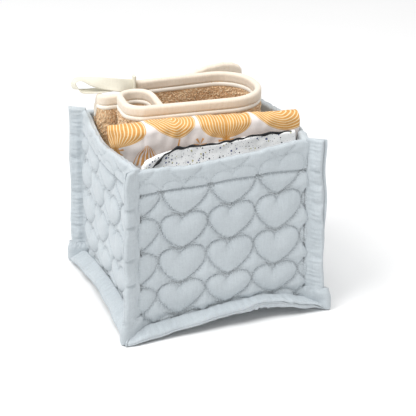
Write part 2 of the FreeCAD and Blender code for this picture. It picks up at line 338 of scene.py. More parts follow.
def noise(tree, x, y, length, detail=2.0, rough=0.5, seed=0.0):
    """Noise from 0 to 1 over a plane in millimetres, with grains of about this length."""
    wide, tall = length if isinstance(length, tuple) else (length, length)
    join = tree.nodes.new("ShaderNodeCombineXYZ")
    plug(tree, join.inputs[0], x / wide)
    plug(tree, join.inputs[1], y / tall)
    join.inputs[2].default_value = seed
    node = tree.nodes.new("ShaderNodeTexNoise")
    node.inputs["Scale"].default_value = 1.0
    node.inputs["Detail"].default_value = detail
    node.inputs["Roughness"].default_value = rough
    tree.links.new(join.outputs[0], node.inputs["Vector"])
    return Value(tree, node.outputs[0])


def mix(tree, share, first, second):
    """A colour between two colours; each is a socket or an RGB triple."""
    node = tree.nodes.new("ShaderNodeMix")
    node.data_type = "RGBA"
    plug(tree, node.inputs["Factor"], share)
    for place, colour in ((node.inputs["A"], first), (node.inputs["B"], second)):
        if isinstance(colour, tuple):
            place.default_value = colour + (1.0,)
        else:
            tree.links.new(colour, place)
    return node.outputs["Result"]


def finish_material(tree, shader, colour, height, depth, roughness=None):
    """Colour, bump of this depth in millimetres, and roughness that varies."""
    tree.links.new(colour, shader.inputs["Base Color"])
    bump = tree.nodes.new("ShaderNodeBump")
    bump.inputs["Strength"].default_value = 1.0
    bump.inputs["Distance"].default_value = depth * MM
    tree.links.new(height.socket, bump.inputs["Height"])
    tree.links.new(bump.outputs["Normal"], shader.inputs["Normal"])
    if roughness is not None:
        tree.links.new(roughness.socket, shader.inputs["Roughness"])


def threads(tree, x, y, pitch):
    """Height of a plain weave: uneven warp and weft threads crossing, 0 to 1."""
    warp = noise(tree, x, y, (pitch, pitch * 9), 1.0, 0.5, 3.1)
    weft = noise(tree, x, y, (pitch * 9, pitch), 1.0, 0.5, 7.7)
    return warp.math("MAXIMUM", weft)


def stored(tree, name):
    """A value kept at the points of a mesh."""
    node = tree.nodes.new("ShaderNodeAttribute")
    node.attribute_name = name
    return Value(tree, node.outputs["Fac"])


def needle_marks(tree):
    """Around quilting thread: the needle's holes, and the puckers drawn towards them."""
    gap = stored(tree, "sewn_gap")
    beat = (stored(tree, "sewn_run") * (TAU / STITCH_PITCH)).math("COSINE")
    holes = gap.step(1.0, 0.3) * beat.step(0.0, 0.9)
    puckers = gap.step(4.5, 0.6) * beat
    return holes, puckers


def woven(name, light, dark, pitch=0.42, depth=0.10, mottle=0.5, quilted_through=False):
    """Plain woven cotton: light and dark are its thread colours, pitch its threads' spacing."""
    roughness = 0.86
    material, tree, shader = cloth_material(name, roughness, 0.25)
    x, y = flat_place(tree)
    weave = threads(tree, x, y, pitch)
    slub = noise(tree, x, y, (pitch * 2.5, pitch * 40), 2.0, 0.6, 1.3)
    clouds = noise(tree, x, y, 38.0, 3.0, 0.55, 5.0)
    share = (weave - 0.5) * 1.1 + (slub - 0.5) * 0.5 + (clouds - 0.5) * mottle + 0.5
    colour = mix(tree, share.step(0.0, 1.0), dark, light)
    height = weave + slub * 0.4
    if quilted_through:
        holes, puckers = needle_marks(tree)
        # Painted shade: the cloth's colour is darkened a little at the needle holes, standing in for the
        # shade that falls into them; the holes are also pressed in by the bump below
        colour = mix(tree, holes * 0.12, colour, tuple(0.45 * part for part in dark))
        height = height - holes - puckers * 1.8
    finish_material(tree, shader, colour, height, depth, roughness + (clouds - 0.5) * 0.2)
    return material


# --------------------------------------------------------------- quilting

STEP = 1.0     # spacing of the quilted panels' grids
HEART_PITCH = (53.5, 39.6)            # between hearts across, and between their rows
STITCH_PITCH = 2.5                    # one stitch of the quilting and the hole beside it
STITCH_SINK = 2.4                     # stitched lines lie this far inside the wall's face
PUFF = 5.2                            # the wadding lifts the cloth this much above them
HEM_LEVEL = 1.0                       # the turned hem lifts the cloth above its stitching
SEAM_ALLOWANCE = 3.0                  # the walls' own seams are sewn this far from their edges
SQUEEZED = 51.0                       # below this height the quilting is squeezed together


def bezier(a, b, c, d, count=26):
    """Points of a cubic curve from a to d."""
    t = np.linspace(0, 1, count)[:, None]
    a, b, c, d = (np.array(p, float) for p in (a, b, c, d))
    return (1 - t) ** 3 * a + 3 * (1 - t) ** 2 * t * b + 3 * (1 - t) * t ** 2 * c + t ** 3 * d


def heart(x, z):
    """Stitched outline of one lopsided, blunt heart, with its cleft at (x, z)."""
    left = np.concatenate([bezier((0, 0), (-3, 9), (-23.5, 10), (-23.5, -5.2)),
                           bezier((-23.5, -5.2), (-23.5, -17), (-12, -29.5), (0, -33.3))[1:]])
    right = np.concatenate([bezier((0, 0), (4, 8.5), (27, 12), (28.4, -5.5)),
                            bezier((28.4, -5.5), (28.4, -17), (13, -29), (0, -33.3))[1:]])
    return [left + (x, z), right + (x, z)]


def heart_lines(first_x, first_z, low, high, climb=0.0, drift=0.0):
    """Rows of hearts that cover -HALF to HALF across and low to high upwards. Each row
    climbs across the cloth, and each row below the first starts drift further on."""
    lines = []
    across, up = HEART_PITCH
    for column in range(-4, 5):
        for row in range(-6, 7):
            x, z = first_x + column * across - row * drift, first_z + row * up
            if abs(x) < HALF + 34 and low - 12 < z < high + 34:
                lines += heart(x, z + climb * x)
    return lines


def nearest_on(points, lines):
    """Distance from each point to the lines, the nearest place on them, and how far along
    its line that place is."""
    distance = np.full(len(points), 1e6, np.float32)
    nearest = np.zeros_like(points)
    run = np.zeros(len(points), np.float32)
    margin = 14.0
    for line in lines:
        low, high = line.min(0) - margin, line.max(0) + margin
        near = np.where(((points > low) & (points < high)).all(axis=1))[0]
        if len(near) == 0:
            continue
        start, along = line[:-1], np.diff(line, axis=0)
        length = line_length(line)
        offset = points[near][:, None] - start
        share = np.clip((offset * along).sum(2) / (along ** 2).sum(1), 0, 1)
        place = start + share[..., None] * along
        gap = np.linalg.norm(points[near][:, None] - place, axis=2)
        best = gap.argmin(1)
        rows = np.arange(len(near))
        closer = gap[rows, best] < distance[near]
        distance[near[closer]] = gap[rows, best][closer]
        nearest[near[closer]] = place[rows, best][closer]
        here = length[best] + share[rows, best] * np.diff(length)[best]
        run[near[closer]] = here[closer]
    return distance, nearest, run


def pair_slices(count, shift, period, start):
    """Every period-th point of one side of a grid, and the points shift further on."""
    chosen = np.arange(start, count - shift, period)
    stop = chosen[-1] + 1
    return slice(start, stop, period), slice(start + shift, stop + shift, period)


def springs(flat, slack, free, bend):
    """Batches of neighbouring points with the cloth's length between them."""
    nu, nv = free.shape
    batches = []
    neighbours = ((1, 0, 1.0), (0, 1, 1.0), (1, 1, 0.5), (1, -1, 0.5), (2, 0, bend), (0, 2, bend))
    for di, dj, stiffness in neighbours:
        period = 2 * (di or dj)
        for start in range(period):
            if di:
                a_rows, b_rows = pair_slices(nu, di, period, start)
                a_columns = slice(max(0, -dj), nv - max(0, dj))
                b_columns = slice(max(0, dj), nv - max(0, -dj))
            else:
                a_rows = b_rows = slice(0, nu)
                a_columns, b_columns = pair_slices(nv, dj, period, start)
            a, b = (a_rows, a_columns), (b_rows, b_columns)
            length = np.linalg.norm(flat[b] - flat[a], axis=2) * (1 + 0.5 * (slack[a] + slack[b]))
            total = np.maximum(free[a] + free[b], 1e-6)
            batches.append((a, b, length, (free[a] / total * stiffness)[..., None],
                            (free[b] / total * stiffness)[..., None]))
    return batches


def relax(flat, level, target, free, slack, seed, rounds=70, lift=0.05, bend=0.08, rough=0.55):
    """Settle cloth that is longer than its wadding between stitched lines that hold it.
    flat is where the cloth was, level the height that holds it, target the wadding's top."""
    rng = np.random.default_rng(seed)
    grain = rng.normal(0, 1, free.shape)
    for _ in range(2):
        grain = (grain + sum(np.roll(grain, s, axis) for s in (1, -1) for axis in (0, 1))) / 5
    place = np.dstack([flat, np.where(free > 0, target + grain * rough / grain.std(), level)])
    place = place.astype(np.float32)
    batches = springs(flat.astype(np.float32), slack.astype(np.float32), free.astype(np.float32), bend)
    speed = np.zeros_like(place)
    hold = free[..., None]
    for _ in range(rounds):
        speed *= 0.8
        speed[..., 2] += lift * (target - place[..., 2]) * free
        before = place.copy()
        place += speed * hold
        for a, b, length, share_a, share_b in batches:
            gap = place[b] - place[a]
            now = np.sqrt((gap * gap).sum(2)) + 1e-6
            pull = ((now - length) / now)[..., None] * gap
            place[a] += share_a * pull
            place[b] -= share_b * pull
        speed = place - before
    return place.astype(float)


# ------------------------------------------------------------- basket walls

# What differs from wall to wall. Lines over a wall run from its left corner to its right one
# as seen from outside: how far its rim stands up, the height of its hem's stitching, and how
# far its foot has sunk. Its rows of hearts start at a place, climb and drift. It leans out
# at the middle of its rim, and that falls off towards its corners with a power of the cosine.
WALLS = {
    "front": dict(hearts=(6.0, 130.5), climb=0.022, drift=-1.8, out=1.5, fall=2.0, seed=11,
                  rim=[(-96, -2), (-40, -4), (20, 0), (88, 6), (96, 3)],
                  hem=[(-96, 162.5), (-50, 165.5), (0, 164.5), (40, 163), (88, 157.5), (96, 157)],
                  sunk=[(-96, 6), (-60, 6.5), (-20, 3), (20, 0), (96, 0)]),
    "right": dict(hearts=(14.0, 130.0), climb=0.0, drift=1.0, out=15.5, fall=0.8, seed=12,
                  rim=[(-96, 3), (-30, 1), (40, -1), (96, 0)],
                  hem=[(-96, 163), (10, 164), (96, 162)],
                  sunk=[(-96, 0), (96, 0)]),
    "back": dict(hearts=(-9.0, 129.0), climb=-0.01, drift=0.0, out=3.0, fall=2.0, seed=13,
                 rim=[(-96, 0), (-20, -2), (50, -1), (96, -2)],
                 hem=[(-96, 162), (20, 165), (96, 163)],
                 sunk=[(-96, 0), (96, 0)]),
    "left": dict(hearts=(-35.0, 130.0), climb=0.0, drift=8.0, out=9.5, fall=1.5, seed=14,
                 rim=[(-96, -2), (-50, -3), (10, -4), (70, -2), (96, -2)],
                 hem=[(-96, 163), (-10, 165), (96, 161)],
                 sunk=[(-96, 0), (40, 0), (96, 4)]),
}
BELLY = 2.0                    # the lower walls bulge this much
ROLL = 3.4                     # radius of the rolled rim
ROLL_ROWS = 5                  # rows of points from a face to the top of the rim


def arched_foot(u):
    """Height of a wall's lower edge at u along it: it arches up between the corners."""
    return FOOT + ARCH * (1 - (u / HALF) ** 2)


def quilted_field(flat, lines, seed, held, level):
    """Heights of quilted cloth over its flat grid; held marks the sewn borders."""
    shape = flat.shape[:2]
    distance, nearest, run = nearest_on(flat.reshape(-1, 2).astype(np.float32), lines)
    on_line = (distance < 0.52 * STEP).reshape(shape) | held
    snapped = np.where((on_line & ~held)[..., None], nearest.reshape(shape + (2,)), flat)
    distance = distance.reshape(shape)
    puff = averaged(PUFF * (1 - np.exp(-distance / 6.0)), int(2 / STEP), 1)
    slack = 0.045 + 0.10 * np.exp(-distance / 3.5)
    free = np.where(on_line, 0.0, 1.0)
    return relax(snapped, level, level + puff, free, slack, seed), distance, run.reshape(shape)


def settled(points):
    """The soft basket has settled unevenly: its feet stand apart by a few millimetres."""
    x, y, z = np.moveaxis(points, -1, 0)
    low = np.clip(1 - z / 195, 0, 1) ** 0.8
    moved = points.copy()
    for corner, shift in FEET_APART.items():
        way_x, way_y = CORNER_WAYS[corner]
        near_x = np.clip((1 + way_x * x / HALF) / 2, 0, 1.08)
        near_y = np.clip((1 + way_y * y / HALF) / 2, 0, 1.08)
        near = (near_x * near_y) ** 3
        for axis in (0, 1):
            moved[..., axis] += shift[axis] * near * low
    return moved


def wall_place(side, u, depth, z):
    """Points of a wall from their place along it, depth inside its face, and height."""
    facts = WALLS[side]
    middle = np.abs(np.cos(math.pi * u / (2 * HALF)))
    lean_out = facts["out"] * middle ** facts["fall"] * np.clip(z / RIM, 0, 1) ** 1.7
    belly = BELLY * dome(z, 46.0, 34.0) * middle ** 2
    along = u * (1 - np.clip(depth, 0, None) / HALF)
    sunk = through(facts["sunk"], u) * (1 - smooth((z - FOOT) / 34))
    raised = z + through(facts["rim"], u) * smooth((z - 60) / 130) - sunk
    return settled(turn(np.stack([along, -HALF + depth - lean_out - belly, raised], axis=-1), SIDES[side]))


class Wall:
    """One quilted wall: its outer and inner grids and the way from flat cloth to them."""

    def __init__(self, side):
        facts = WALLS[side]
        self.side = side
        self.u = np.arange(-HALF, HALF + 0.01, STEP)
        self.top = RIM - ROLL
        self.rows = int((self.top - FOOT) / STEP) + 1
        u = np.repeat(self.u[:, None], self.rows, axis=1)
        share = np.linspace(0, 1, self.rows)[None, :]
        foot = arched_foot(u)
        z = foot + (self.top - foot) * share
        self.flat = np.stack([u, z], axis=-1)
        hem = through(facts["hem"], self.u)
        self.hem_line = np.stack([self.u, hem], axis=-1)
        self.hearts = heart_lines(*facts["hearts"], FOOT - 10, RIM, facts["climb"], facts["drift"])
        for line in self.hearts:
            line[:, 1] = SQUEEZED + (line[:, 1] - SQUEEZED) * np.where(line[:, 1] < SQUEEZED, 0.8, 1.0)
        above = smooth((z - hem[:, None]) / 3.0)
        held = np.zeros(u.shape, bool)
        held[0] = held[-1] = True
        held[:, 0] = True
        level = HEM_LEVEL * above * smooth((RIM + 14 - z) / 20)
        field, distance, self.run = quilted_field(self.flat, self.hearts + [self.hem_line],
                                                  facts["seed"], held, level)
        # The hem's cloth is stiffer than the rest, and the wadding thinner at a wall's sides.
        height = level + (field[..., 2] - level) * (1 - 0.62 * above)
        at_side = 1 - smooth((HALF - np.abs(u)) / 6.0)
        depth = STITCH_SINK * (1 - 0.4 * above) - height * (1 - 0.2 * at_side)
        self.outer = wall_place(side, field[..., 0], depth, field[..., 1])
        # A row of stitches also runs just inside the seams at the wall's sides and foot.
        to_side, to_foot = HALF - np.abs(u), z - foot
        to_seam = np.abs(np.minimum(to_side, to_foot) - SEAM_ALLOWANCE)
        self.run = np.where(to_seam < distance, np.where(to_side < to_foot, z, u), self.run)
        self.sewn_gap = np.minimum(distance, to_seam) + 2.0 * smooth((z - hem[:, None] - 1.5) / 3.0)
        self.inner = self.inner_face(u, z, distance)

    def inner_face(self, u, z, distance):
        """The lining, puffed a little between the same stitches, and the hem over it."""
        puff = averaged(1.1 * (1 - np.exp(-distance / 5.0)), int(4 / STEP), 0)
        ripple = waves(WALLS[self.side]["seed"] + 40, 26.0)(u, z) * 0.25
        lining = WALL - 1.0 + puff + ripple * 0.6
        hem = WALL + HEM_CLOTH * 0.7 + ripple * 0.5
        over = smooth((z - HEM_LOW) / 0.9)
        return wall_place(self.side, u, lining + (hem - lining) * over, z)

    def rolled_rim(self):
        """Rows that carry the outer cloth over the rim to the hem facing."""
        outer, inner = self.outer[:, -1], self.inner[:, -1]
        middle, reach = (outer + inner) / 2, (outer - inner) / 2
        wrinkle = waves(WALLS[self.side]["seed"] + 60, 13.0)(self.u, 0.0)
        height = (ROLL + 0.35 * wrinkle)[:, None] * UP
        outside, inside = [], []
        for angle in np.linspace(0, 90, ROLL_ROWS + 1)[1:]:
            c, s = math.cos(math.radians(angle)), math.sin(math.radians(angle))
            outside.append(middle + reach * c + height * s)
            inside.append(middle - reach * c + height * s)
        return np.stack(outside, axis=1), np.stack(inside, axis=1)

    def build(self, material):
        """The wall as one closed padded piece."""
        outside, inside = self.rolled_rim()
        upper = np.concatenate([self.outer, outside], axis=1)
        lower = np.concatenate([self.inner, inside], axis=1)
        lower[:, -1] -= 0.05 * UP
        over_rim = self.top + 1.1 * np.arange(1, ROLL_ROWS + 1)
        more = np.stack(np.meshgrid(self.u, over_rim, indexing="ij"), axis=-1)
        flat = np.concatenate([self.flat, more], axis=1)
        gap = np.pad(self.sewn_gap, ((0, 0), (0, ROLL_ROWS)), constant_values=20.0)
        run = np.pad(self.run, ((0, 0), (0, ROLL_ROWS)))
        sewn = {"sewn_gap": [gap, gap], "sewn_run": [run, run]}
        wall = shell(self.side + "_wall", upper, lower, flat, sewn)
        layers = [self.side + part for part in ("_outer_cloth", "_wadding", "_lining", "_hem_facing")]
        finished(wall, "basket", "quilted_cotton", material, *layers)

    def at(self, points, face):
        """Points of the finished outer or inner face for places on the flat cloth."""
        i = np.clip((points[:, 0] + HALF) / STEP, 0, len(self.u) - 1.001)
        foot = arched_foot(points[:, 0])
        j = np.clip((points[:, 1] - foot) / (self.top - foot) * (self.rows - 1), 0, self.rows - 1.001)
        i0, j0 = i.astype(int), j.astype(int)
        fi, fj = (i - i0)[:, None], (j - j0)[:, None]
        return (face[i0, j0] * (1 - fi) * (1 - fj) + face[i0 + 1, j0] * fi * (1 - fj)
                + face[i0, j0 + 1] * (1 - fi) * fj + face[i0 + 1, j0 + 1] * fi * fj)

    def carries(self, points):
        """Whether places on the flat cloth lie within this wall."""
        inside = (np.abs(points[:, 0]) < HALF - 2) & (points[:, 1] > arched_foot(points[:, 0]) + 2)
        return inside & (points[:, 1] < self.top - 1)


def stitch_points(line, pitch):
    """Middles and directions of stitches set at an even pitch along a line."""
    length = line_length(line)
    places = np.arange(pitch / 2, length[-1], pitch)
    ahead, behind = (points_along(line, length, places + shift) for shift in (0.3, -0.3))
    return points_along(line, length, places), unit(ahead - behind)


def thread_mesh(name, middles, along, out, length, thick):
    """Short arched threads that dive into the cloth at both ends."""
    side = unit(np.cross(out, along))
    rings = []
    for share in (-0.5, -0.3, 0.0, 0.3, 0.5):
        rise = thick * (0.55 - 5.2 * share ** 2)
        thin = 0.62 if abs(share) == 0.5 else 1.0
        centre = middles + along * (share * length) + out * rise
        for angle in (45, 135, 225, 315):
            c, s = math.cos(math.radians(angle)), math.sin(math.radians(angle))
            rings.append(centre + (side * c + out * s) * thick * 0.5 * thin)
    count = len(middles)
    uv = np.zeros((count * 20, 2))
    uv[:, 0] = np.tile(np.repeat(np.linspace(0, length, 5), 4), count)
    uv[:, 0] += np.repeat(np.arange(count) * 7.3, 20)
    uv[:, 1] = np.tile(np.arange(4) * 0.4, 5 * count)
    return tubes(name, np.stack(rings, axis=1), uv)


def wall_stitches(wall, material):
    """Quilting thread on the outer face of one wall."""
    outward = turn(np.array([[0.0, -1.0, 0.0]]), SIDES[wall.side])
    middles, along = [], []
    for line in wall.hearts + [wall.hem_line]:
        flat, heading = stitch_points(line, STITCH_PITCH)
        inside = wall.carries(flat)
        flat, heading = flat[inside], heading[inside]
        ahead = wall.at(flat + heading * 0.8, wall.outer)
        behind = wall.at(flat - heading * 0.8, wall.outer)
        middles.append(wall.at(flat, wall.outer))
        along.append(unit(ahead - behind))
    middles, along = np.concatenate(middles), np.concatenate(along)
    out = np.repeat(outward, len(middles), axis=0)
    obj = thread_mesh(wall.side + "_quilting_thread", middles + 0.12 * out, along, out,
                      0.72 * STITCH_PITCH, 0.42)
    finished(obj, "basket", "seam_cotton", material)


# ---------------------------------------------------- seams, tabs and floor

# How each corner seam stands: the degrees it is turned from the diagonal, the heights of the
# quilting that crosses it, how much one layer stands out past the other in its upper half,
# the height of its top, how far its tab reaches out, and a seed for its unevenness.
CORNER_SEAMS = {
    "front_left": dict(lean=-19, dents=[149, 130, 94, 65], spare=0.4, top=190.5, foot=20.0, seed=21),
    "front_right": dict(lean=8, dents=[161, 147, 125, 103, 62], spare=1.5, top=197.0, foot=23.0, seed=22),
    "back_left": dict(lean=10, dents=[157, 131, 88, 46], spare=-0.5, top=191.0, foot=19.5, seed=23),
    "back_right": dict(lean=-8, dents=[160, 121, 90, 52], spare=0.6, top=191.0, foot=18.0, seed=24),
}
SEAM_WIDE = 15.0               # how far a seam stands out from the corner
SEAM_ROOT = 5.0                # and how far it reaches in between the walls
SEAM_LAYER = 3.3               # thickness of one of its two layers
SEAM_IN_TAB = 3.0              # its lower end is sewn this far into the tab
SLIT = 0.35                    # gap between its layers
TAB_ROOT = 6.0                 # a tab reaches in this far
TAB_LAYER = 4.4                # half its thickness


def corner_frame(corner, lean):
    """The corner's place in plan, the way its seam points, and the way across it."""
    diagonal = math.radians(CORNERS[corner])
    place = HALF * np.array(CORNER_WAYS[corner] + (0,))
    angle = diagonal + np.radians(lean)
    out = np.stack([np.cos(angle), np.sin(angle), np.zeros_like(angle)], axis=-1)
    across = np.stack([-np.sin(angle), np.cos(angle), np.zeros_like(angle)], axis=-1)
    return place, out, across


def seam_thickness(t, z_grid, facts, way):
    """One layer of a corner seam: thin where it is sewn, full further out, pinched where
    the quilting crosses it and rounded at its edge and top."""
    wave = waves(facts["seed"] + 8 * way, 30.0)
    growth = 0.34 + 0.66 * smooth((t - 0.24) / 0.34)
    tilt = 2.5 * way * (t - 0.6)
    pinch = sum(dome(z_grid, height + tilt, 2.4) for height in facts["dents"])
    swell = sum(dome(z_grid, height + tilt - 9, 8.0) for height in facts["dents"])
    body = SEAM_LAYER * growth * (1 + 0.16 * np.clip(swell, 0, 1) + 0.10 * wave(z_grid, t * 12))
    body = body * (1 - 0.62 * np.clip(pinch, 0, 1) * smooth((t - 0.2) / 0.2))
    top = rounded((facts["top"] - z_grid) / 3.0, 0.03)
    return np.maximum(body * round_off(t, 0.05, 0.16) * top, 0.22)


def corner_seam(corner, material):
    """Two padded layers sewn together, with a slit between their folded edges."""
    facts = CORNER_SEAMS[corner]
    wave, ripple = waves(facts["seed"], 45.0), waves(facts["seed"] + 30, 8.0)
    foot = TAB_TOP - SEAM_IN_TAB
    z = foot + (facts["top"] - foot) * eased(int(190 / STEP), 0.1)
    t = eased(int(28 / STEP), 0.6)
    z_grid, t_grid = np.meshgrid(z, t, indexing="ij")
    place, out, across = corner_frame(corner, facts["lean"] + 3.0 * wave(z_grid, 0.0) * t_grid)
    mouth = smooth((z_grid - RIM + 9) / 9)
    mouth = mouth + 0.5 * smooth((z_grid - 96) / 14) * smooth((RIM - z_grid) / 14)
    parts = []
    for way in (1, -1):
        wide = SEAM_WIDE + 0.6 * wave(z_grid, 90.0) + way * facts["spare"] * smooth((z_grid - 92) / 25)
        thick = seam_thickness(t_grid, z_grid, facts, way)
        crease = 0.30 * ripple(z_grid * 1.4, t_grid * 5.0 + way * 50) * np.sin(math.pi * t_grid)
        inner = SLIT / 2 + 0.8 * mouth * t_grid ** 3
        base = place + out * (t_grid * (wide + SEAM_ROOT) - SEAM_ROOT)[..., None] + UP * z_grid[..., None]
        near = base + across * (way * inner)[..., None]
        far = base + across * (way * (inner + thick + crease * (thick > 0.8)))[..., None]
        upper, lower = (far, near) if way < 0 else (near, far)
        parts.append(shell_parts(upper, lower))
    points, faces = join_parts(parts)
    uv = np.concatenate([np.stack([t_grid * 20, z_grid], -1).reshape(-1, 2)] * 4)
    seam = mesh_object(corner + "_seam", settled(points), faces.tolist(), uv)
    finished(seam, "basket", "seam_cotton", material, corner + "_corner_seam")


def corner_tab(corner, material):
    """The plain padded foot under a corner seam, gathered at its top."""
    facts = CORNER_SEAMS[corner]
    wave, gather = waves(facts["seed"] + 5, 16.0), waves(facts["seed"] + 6, 4.2)
    tall = TAB_TOP + 1.5
    z = tall * eased(int(30 / STEP) + 8, 0.45)
    t = eased(int(34 / STEP), 0.8)
    z_grid, t_grid = np.meshgrid(z, t, indexing="ij")
    share = z_grid / tall
    place, out, across = corner_frame(corner, facts["lean"])
    # The foot is widest just above the ground and drawn in where the seam is gathered.
    wide = facts["foot"] * (1 - 0.10 * dome(share, 0.96, 0.2)) - 2.2 * (1 - rounded(share / 0.25))
    thick = TAB_LAYER * (1 - 0.25 * dome(share, 1.0, 0.12)) * (1 + 0.10 * wave(z_grid, 20 * t_grid))
    thick = thick * round_off(t_grid, 0.05, 0.2) * rounded(share / 0.16, 0.02)
    thick = np.maximum(thick, 0.15)
    pucker = 0.45 * gather(t_grid * 18, z_grid * 0.25) * dome(share, 1.0, 0.22) * (thick > 0.8)
    base = place + out * (t_grid * (wide + TAB_ROOT) - TAB_ROOT)[..., None] + UP * z_grid[..., None]
    upper = base - across * (thick + pucker)[..., None]
    lower = base + across * (thick - pucker)[..., None]
    tab = shell(corner + "_tab", settled(upper), settled(lower), np.stack([t_grid * 24, z_grid], -1))
    finished(tab, "basket", "seam_cotton", material, corner + "_corner_tab")


# The foot of each wall, from the left corner to the right one as seen from outside: the
# height where the splayed cloth meets the wall, the height of the slit between its two
# layers at their outer edge, how thick the lower layer hangs there, and where it is frilled.
BASE_SEAMS = {
    "front": dict(root=[(-96, 11), (-80, 14.5), (-28, 19), (17, 23.5), (41, 25), (64, 22), (88, 15),
                        (96, 13)],
                  slit=[(-110, 2.2), (-79, 5.5), (-51, 9.5), (-11, 14.5), (12, 17.2), (35, 21.0),
                        (58, 19.6), (70, 16.0), (82, 12.1), (94, 9.5), (110, 2.6)],
                  hang=[(-110, 1.8), (-79, 4.6), (-33, 4.0), (0, 4.4), (35, 8.0), (58, 8.6),
                        (82, 6.2), (110, 1.8)],
                  frill=(34, 17), seed=31),
    "right": dict(root=[(-96, 15), (-40, 22), (20, 24.5), (70, 22), (96, 17)],
                  slit=[(-110, 2.6), (-70, 9), (-10, 17), (50, 16), (90, 7), (110, 2.6)],
                  hang=[(-110, 1.8), (-30, 4.5), (50, 6.0), (110, 1.8)], frill=(40, 20), seed=32),
    "back": dict(root=[(-96, 17), (-50, 23), (0, 24.5), (60, 22), (96, 17)],
                 slit=[(-110, 2.6), (-74, 9), (-20, 17), (40, 17), (80, 9), (110, 2.6)],
                 hang=[(-110, 1.8), (-40, 5.5), (30, 4.0), (110, 1.8)], frill=(-40, 20), seed=33),
    "left": dict(root=[(-96, 17), (-40, 21), (20, 22), (70, 20), (96, 17)],
                 slit=[(-110, 2.6), (-60, 8), (0, 12), (50, 9), (90, 5), (110, 2.6)],
                 hang=[(-110, 1.8), (0, 4.2), (110, 1.8)], frill=(0, 20), seed=34),
}
BASE_OUT = 14.0                # how far a base seam splays out
BASE_IN = 1.5                  # its root is sewn this far inside the wall's face
BASE_LAYER = 2.8               # thickness of one of its two layers


def base_seam(side, material):
    """Two thin layers of cloth that splay out along the foot of one wall."""
    facts = BASE_SEAMS[side]
    wave, ripple = waves(facts["seed"], 50.0), waves(facts["seed"] + 30, 8.0)
    gather = waves(facts["seed"] + 60, 4.6)
    s = np.linspace(-1, 1, int(250 / STEP))
    t = eased(int(22 / STEP), 0.7)
    s_grid, t_grid = np.meshgrid(s, t, indexing="ij")
    u = s_grid * (HALF - BASE_IN + (BASE_OUT + BASE_IN) * t_grid)
    reach = s_grid * (HALF + BASE_OUT)
    root = through(facts["root"], u) - BASE_LAYER
    slit = through(facts["slit"], reach)
    hang = through(facts["hang"], reach)
    corner = smooth((np.abs(s_grid) - 0.74) / 0.2)
    out = (BASE_OUT + 0.9 * wave(s_grid * 100, 0.0)) * t_grid
    out = out * (1 - 0.10 * smooth((np.abs(s_grid) - 0.9) / 0.1))
    middle = root + (slit - root) * t_grid ** 1.15 + 1.6 * t_grid * (1 - t_grid)
    middle = middle + 0.35 * wave(u, 40.0) * t_grid
    creases = 0.10 * ripple(u, t_grid * 10) + 0.22 * corner * gather(u, t_grid * 2.0)
    middle = middle + creases * np.sin(math.pi * t_grid)
    centre = np.stack([u, -HALF + BASE_IN - (out + BASE_IN * t_grid), middle], axis=-1)
    normal = unit(np.stack([0 * u, slit - root, np.full_like(u, BASE_OUT)], axis=-1))
    frill = dome(u, *facts["frill"]) + 0.5 * corner
    parts = []
    for way in (1, -1):
        thick = BASE_LAYER * (1 + 0.14 * wave(u, way * 70.0) + 0.07 * ripple(u, 5.0 * t_grid + 20 * way))
        if way < 0:
            thick = thick + np.maximum(hang - BASE_LAYER, 0) * t_grid
            thick = thick + 0.9 * gather(u * 1.1, 3.0 * t_grid) * frill * t_grid
            centre = centre - np.array([0.0, 1.3, 0.0]) * t_grid[..., None] ** 2
        thick = np.maximum(thick * round_off(t_grid, 0.08, 0.2), 0.2)
        near = centre + normal * (way * (0.12 + 0.25 * t_grid ** 3))[..., None]
        far = centre + normal * (way * (0.12 + thick))[..., None]
        far[..., 2] = np.maximum(far[..., 2], 0.3)
        near[..., 2] = np.maximum(near[..., 2], 0.6 + 0.05 * way)
        upper, lower = (far, near) if way < 0 else (near, far)
        parts.append(shell_parts(lower, upper))
    points, faces = join_parts(parts)
    points = settled(turn(points, SIDES[side]))
    uv = np.concatenate([np.stack([u, t_grid * 15], -1).reshape(-1, 2)] * 4)
    seam = mesh_object(side + "_base", points, faces.tolist(), uv)
    finished(seam, "basket", "seam_cotton", material, side + "_base_seam")


def basket_floor(material):
    """The quilted floor, bowed up in the middle, seen from above and from below."""
    axis = np.arange(-HALF + 2, HALF - 1.99, STEP * 1.6)
    x, y = np.meshgrid(axis, axis, indexing="ij")
    flat = np.stack([x, y], axis=-1)
    hearts = heart_lines(6.0, 18.0, -HALF, HALF)
    distance, _, run = nearest_on(flat.reshape(-1, 2).astype(np.float32), hearts)
    puff = averaged(1 - np.exp(-distance.reshape(x.shape) / 4.0), 3, 0)
    bow = FOOT + ARCH * (1 - (x / HALF) ** 2 * (y / HALF) ** 2) - 1.2
    thick = FLOOR_HIGH - FLOOR_LOW
    edge = smooth((HALF - np.maximum(np.abs(x), np.abs(y))) / 7.0)
    low = bow + 1.6 - (0.4 + 3.0 * puff) * edge
    high = bow + thick - 1.6 + 1.4 * puff * edge
    low = np.minimum(low, high - 1.5)
    upper, lower = settled(np.dstack([x, y, high])), settled(np.dstack([x, y, low]))
    sewn = {"sewn_gap": [distance, distance], "sewn_run": [run, run]}
    floor = shell("floor_panel", upper, lower, flat, sewn)
    finished(floor, "basket", "quilted_cotton", material,
             "floor_outer_cloth", "floor_wadding", "floor_lining")


# ------------------------------------------------------------------- towel

